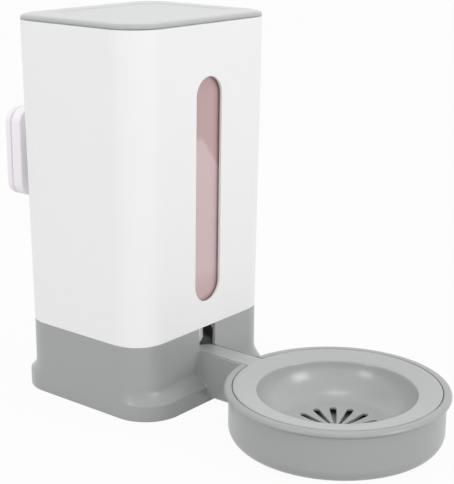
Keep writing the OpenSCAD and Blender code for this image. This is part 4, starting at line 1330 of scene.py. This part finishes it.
class DISPENSER_OT_spring(bpy.types.Operator):
    """Model the valve spring, set at its rest length between the cage and the plunger"""

    bl_idname = "dispenser.spring"
    bl_label = "Valve spring"

    def execute(self, context):
        tower = in_mm(context.scene.dispenser_tower)
        sump_y = context.scene.dispenser_bowl.sump_y
        wire = tower.spring_wire / 2
        low, high = SPRING_LOW.z + SPRING_CLEAR, SPRING_HIGH.z
        bpy.ops.object.select_all(action="DESELECT")
        bpy.ops.mesh.primitive_circle_add(
            vertices=12,
            radius=wire * MM,
            location=((SPRING_HIGH.x - wire) * MM, 0, (low + wire) * MM),
            rotation=(math.pi / 2, 0, 0),
        )
        spring = bpy.context.object
        bpy.ops.object.transform_apply(location=True, rotation=True, scale=False)
        turns = tower.spring_turns
        pitch = (high - low - 2 * wire) / turns
        apply_modifier(
            spring, "SCREW", screw_offset=pitch * MM, iterations=turns, steps=36, render_steps=36
        )
        edit(spring)
        bpy.ops.mesh.select_all(action="SELECT")
        bpy.ops.mesh.fill_holes(sides=0)
        leave_edit()
        shifted(spring, (0, -sump_y / MM, 0))
        smooth(spring)
        material = turned_metal("spring_wire", linear("#B8BABD"), 0.3)
        hand_over(spring, "coil_spring", TOWER, "steel", material, "valve_spring")
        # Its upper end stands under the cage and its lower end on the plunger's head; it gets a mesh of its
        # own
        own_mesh(spring)
        return {"FINISHED"}


class DISPENSER_OT_fittings(bpy.types.Operator):
    """Give the valve, the seals, the screws, the pads and the bolt their finishes"""

    bl_idname = "dispenser.fittings"
    bl_label = "Valve and fasteners"

    def execute(self, context):
        silicone = soft_rubber("silicone", linear("#B8BABC"))
        finishes = {
            "cap_gasket": silicone,
            "valve_seal": silicone,
            "valve_cage": moulded_plastic("acetal", linear("#DBDBD6"), 0.35),
            "valve_plunger": moulded_plastic("acetal_plunger", linear("#D9DBDB"), 0.35),
            "foot_pads": soft_rubber("pad_rubber", linear("#5C5E61")),
            "shell_screws": turned_metal("zinc_plate", linear("#A9ABAE"), 0.35),
            "bolt_clip": turned_metal("spring_steel", linear("#8E9093"), 0.4),
            "clamp_bolt": turned_metal("plated_bolt", linear("#B4B6B9"), 0.32),
            "clamp_washer": turned_metal("plated_washer", linear("#B8BABD"), 0.3),
            "knob_nut": turned_metal("brass", linear("#C8A85F"), 0.3),
        }
        for node, material in finishes.items():
            piece = frame["nodes"][node]
            piece.data.materials.clear()
            piece.data.materials.append(material)
        return {"FINISHED"}


class DISPENSER_OT_stage(bpy.types.Operator):
    """Set the floor, the lamps and the camera"""

    bl_idname = "dispenser.stage"
    bl_label = "Stage"

    def execute(self, context):
        paint = context.scene.dispenser_finishes
        floor_and_world(paint)
        lamps()
        camera()
        return {"FINISHED"}


def seen_share(tree, share):
    """A share for camera, mirror and glass rays, and 0 for the light that falls on the object."""
    path = add_node(tree, "ShaderNodeLightPath").outputs
    either, times = {"operation": "MAXIMUM"}, {"operation": "MULTIPLY"}
    seen = add_node(tree, "ShaderNodeMath", either, {0: path["Is Camera Ray"], 1: path["Is Glossy Ray"]})
    seen = add_node(tree, "ShaderNodeMath", either, {0: seen.outputs[0], 1: path["Is Transmission Ray"]})
    return add_node(tree, "ShaderNodeMath", times, {0: seen.outputs[0], 1: share}).outputs[0]


def mixed(tree, share, lit, seen):
    """A mix of what lights the object and what the camera sees."""
    inputs = {0: seen_share(tree, share), 1: lit.outputs[0], 2: seen.outputs[0]}
    return add_node(tree, "ShaderNodeMixShader", None, inputs).outputs[0]


def floor_and_world(paint):
    """A pale floor and a backdrop that are white to the camera. The floor keeps a faint shadow."""
    white = (1, 1, 1, 1)
    bpy.ops.object.select_all(action="DESELECT")
    bpy.ops.mesh.primitive_plane_add(size=FLOOR_SIZE, location=(0, 0, -0.2 * MM))
    floor = bpy.context.object
    floor.name = "floor"
    material, tree = new_material("paper_floor")
    paper = add_node(tree, "ShaderNodeBsdfDiffuse", Color=paint.floor_white)
    plain = add_node(tree, "ShaderNodeEmission", Color=white, Strength=1.0)
    add_node(tree, "ShaderNodeOutputMaterial", Surface=mixed(tree, FLOOR_WHITE_SHARE, paper, plain))
    floor.data.materials.append(material)
    world = bpy.data.worlds.new("studio")
    bpy.context.scene.world = world
    world.use_nodes = True
    tree = world.node_tree
    tree.nodes.clear()
    fill = add_node(tree, "ShaderNodeBackground", Color=white, Strength=WORLD_STRENGTH)
    plain = add_node(tree, "ShaderNodeBackground", Color=white, Strength=1.0)
    add_node(tree, "ShaderNodeOutputWorld", Surface=mixed(tree, 1.0, fill, plain))


def lamps():
    """Soft studio lamps, aimed at the middle of the object."""
    aim = Vector((0, -0.06, 0.1))
    for name, place, size, watts in LAMPS:
        light = bpy.data.lights.new(name, "AREA")
        light.energy = watts
        light.size = size
        lamp = bpy.data.objects.new(name, light)
        bpy.context.scene.collection.objects.link(lamp)
        lamp.location = place
        lamp.rotation_euler = (aim - lamp.location).to_track_quat("-Z", "Y").to_euler()


def camera():
    """The photograph's camera: its place, its turn and its shift, fitted to the object's own edges."""
    place = Vector((-620.29, -571.42, 342.29)) * MM
    yaw, pitch, roll = math.radians(51.62), math.radians(15.857), math.radians(0.497)
    # Size of the photograph, its focal length and its optical centre, in pixels
    wide, tall = 454, 484
    focal, centre_x, centre_y = 1256.67, 236.25, 237.48
    data = bpy.data.cameras.new("camera")
    data.sensor_width = 36.0
    data.lens = focal * data.sensor_width / max(wide, tall)
    data.shift_x = (wide / 2 - centre_x) / max(wide, tall)
    data.shift_y = (centre_y - tall / 2) / max(wide, tall)
    data.clip_start = 0.01
    data.clip_end = 20.0
    eye = bpy.data.objects.new("camera", data)
    bpy.context.scene.collection.objects.link(eye)
    turn = Matrix.Rotation(-yaw, 4, "Z") @ Matrix.Rotation(math.pi / 2 - pitch, 4, "X")
    eye.matrix_world = Matrix.Translation(place) @ turn @ Matrix.Rotation(roll, 4, "Z")
    bpy.context.scene.camera = eye
    bpy.context.scene.view_settings.view_transform = "Standard"


class DISPENSER_PT_panel(bpy.types.Panel):
    """Lists the dispenser's pieces and its stage"""

    bl_idname = "DISPENSER_PT_panel"
    bl_label = "Dispenser"
    bl_space_type = "VIEW_3D"
    bl_region_type = "UI"
    bl_category = "Dispenser"

    def draw(self, context):
        for operator in OPERATORS:
            self.layout.operator(operator.bl_idname)


OPERATORS = (
    DISPENSER_OT_shell,
    DISPENSER_OT_lid,
    DISPENSER_OT_base,
    DISPENSER_OT_insert,
    DISPENSER_OT_bottle,
    DISPENSER_OT_plates,
    DISPENSER_OT_knob,
    DISPENSER_OT_spring,
    DISPENSER_OT_fittings,
    DISPENSER_OT_stage,
)
GROUPS = (TowerSizes, BowlSizes, ClampSizes, Finishes)


def register():
    """Registers the add-on's classes and puts its sizes on the scene."""
    for item in (*GROUPS, *OPERATORS, DISPENSER_PT_panel):
        bpy.utils.register_class(item)
    bpy.types.Scene.dispenser_tower = bpy.props.PointerProperty(type=TowerSizes)
    bpy.types.Scene.dispenser_bowl = bpy.props.PointerProperty(type=BowlSizes)
    bpy.types.Scene.dispenser_clamp = bpy.props.PointerProperty(type=ClampSizes)
    bpy.types.Scene.dispenser_finishes = bpy.props.PointerProperty(type=Finishes)


def unregister():
    """Takes the add-on's classes away again."""
    del bpy.types.Scene.dispenser_tower
    del bpy.types.Scene.dispenser_bowl
    del bpy.types.Scene.dispenser_clamp
    del bpy.types.Scene.dispenser_finishes
    for item in reversed((*GROUPS, *OPERATORS, DISPENSER_PT_panel)):
        bpy.utils.unregister_class(item)


def main():
    """Registers the classes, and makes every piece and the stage."""
    register()
    bpy.ops.dispenser.shell()
    bpy.ops.dispenser.lid()
    bpy.ops.dispenser.base()
    bpy.ops.dispenser.insert()
    bpy.ops.dispenser.bottle()
    bpy.ops.dispenser.plates()
    bpy.ops.dispenser.knob()
    bpy.ops.dispenser.spring()
    bpy.ops.dispenser.fittings()
    bpy.ops.dispenser.stage()


if __name__ == "__main__":
    main()
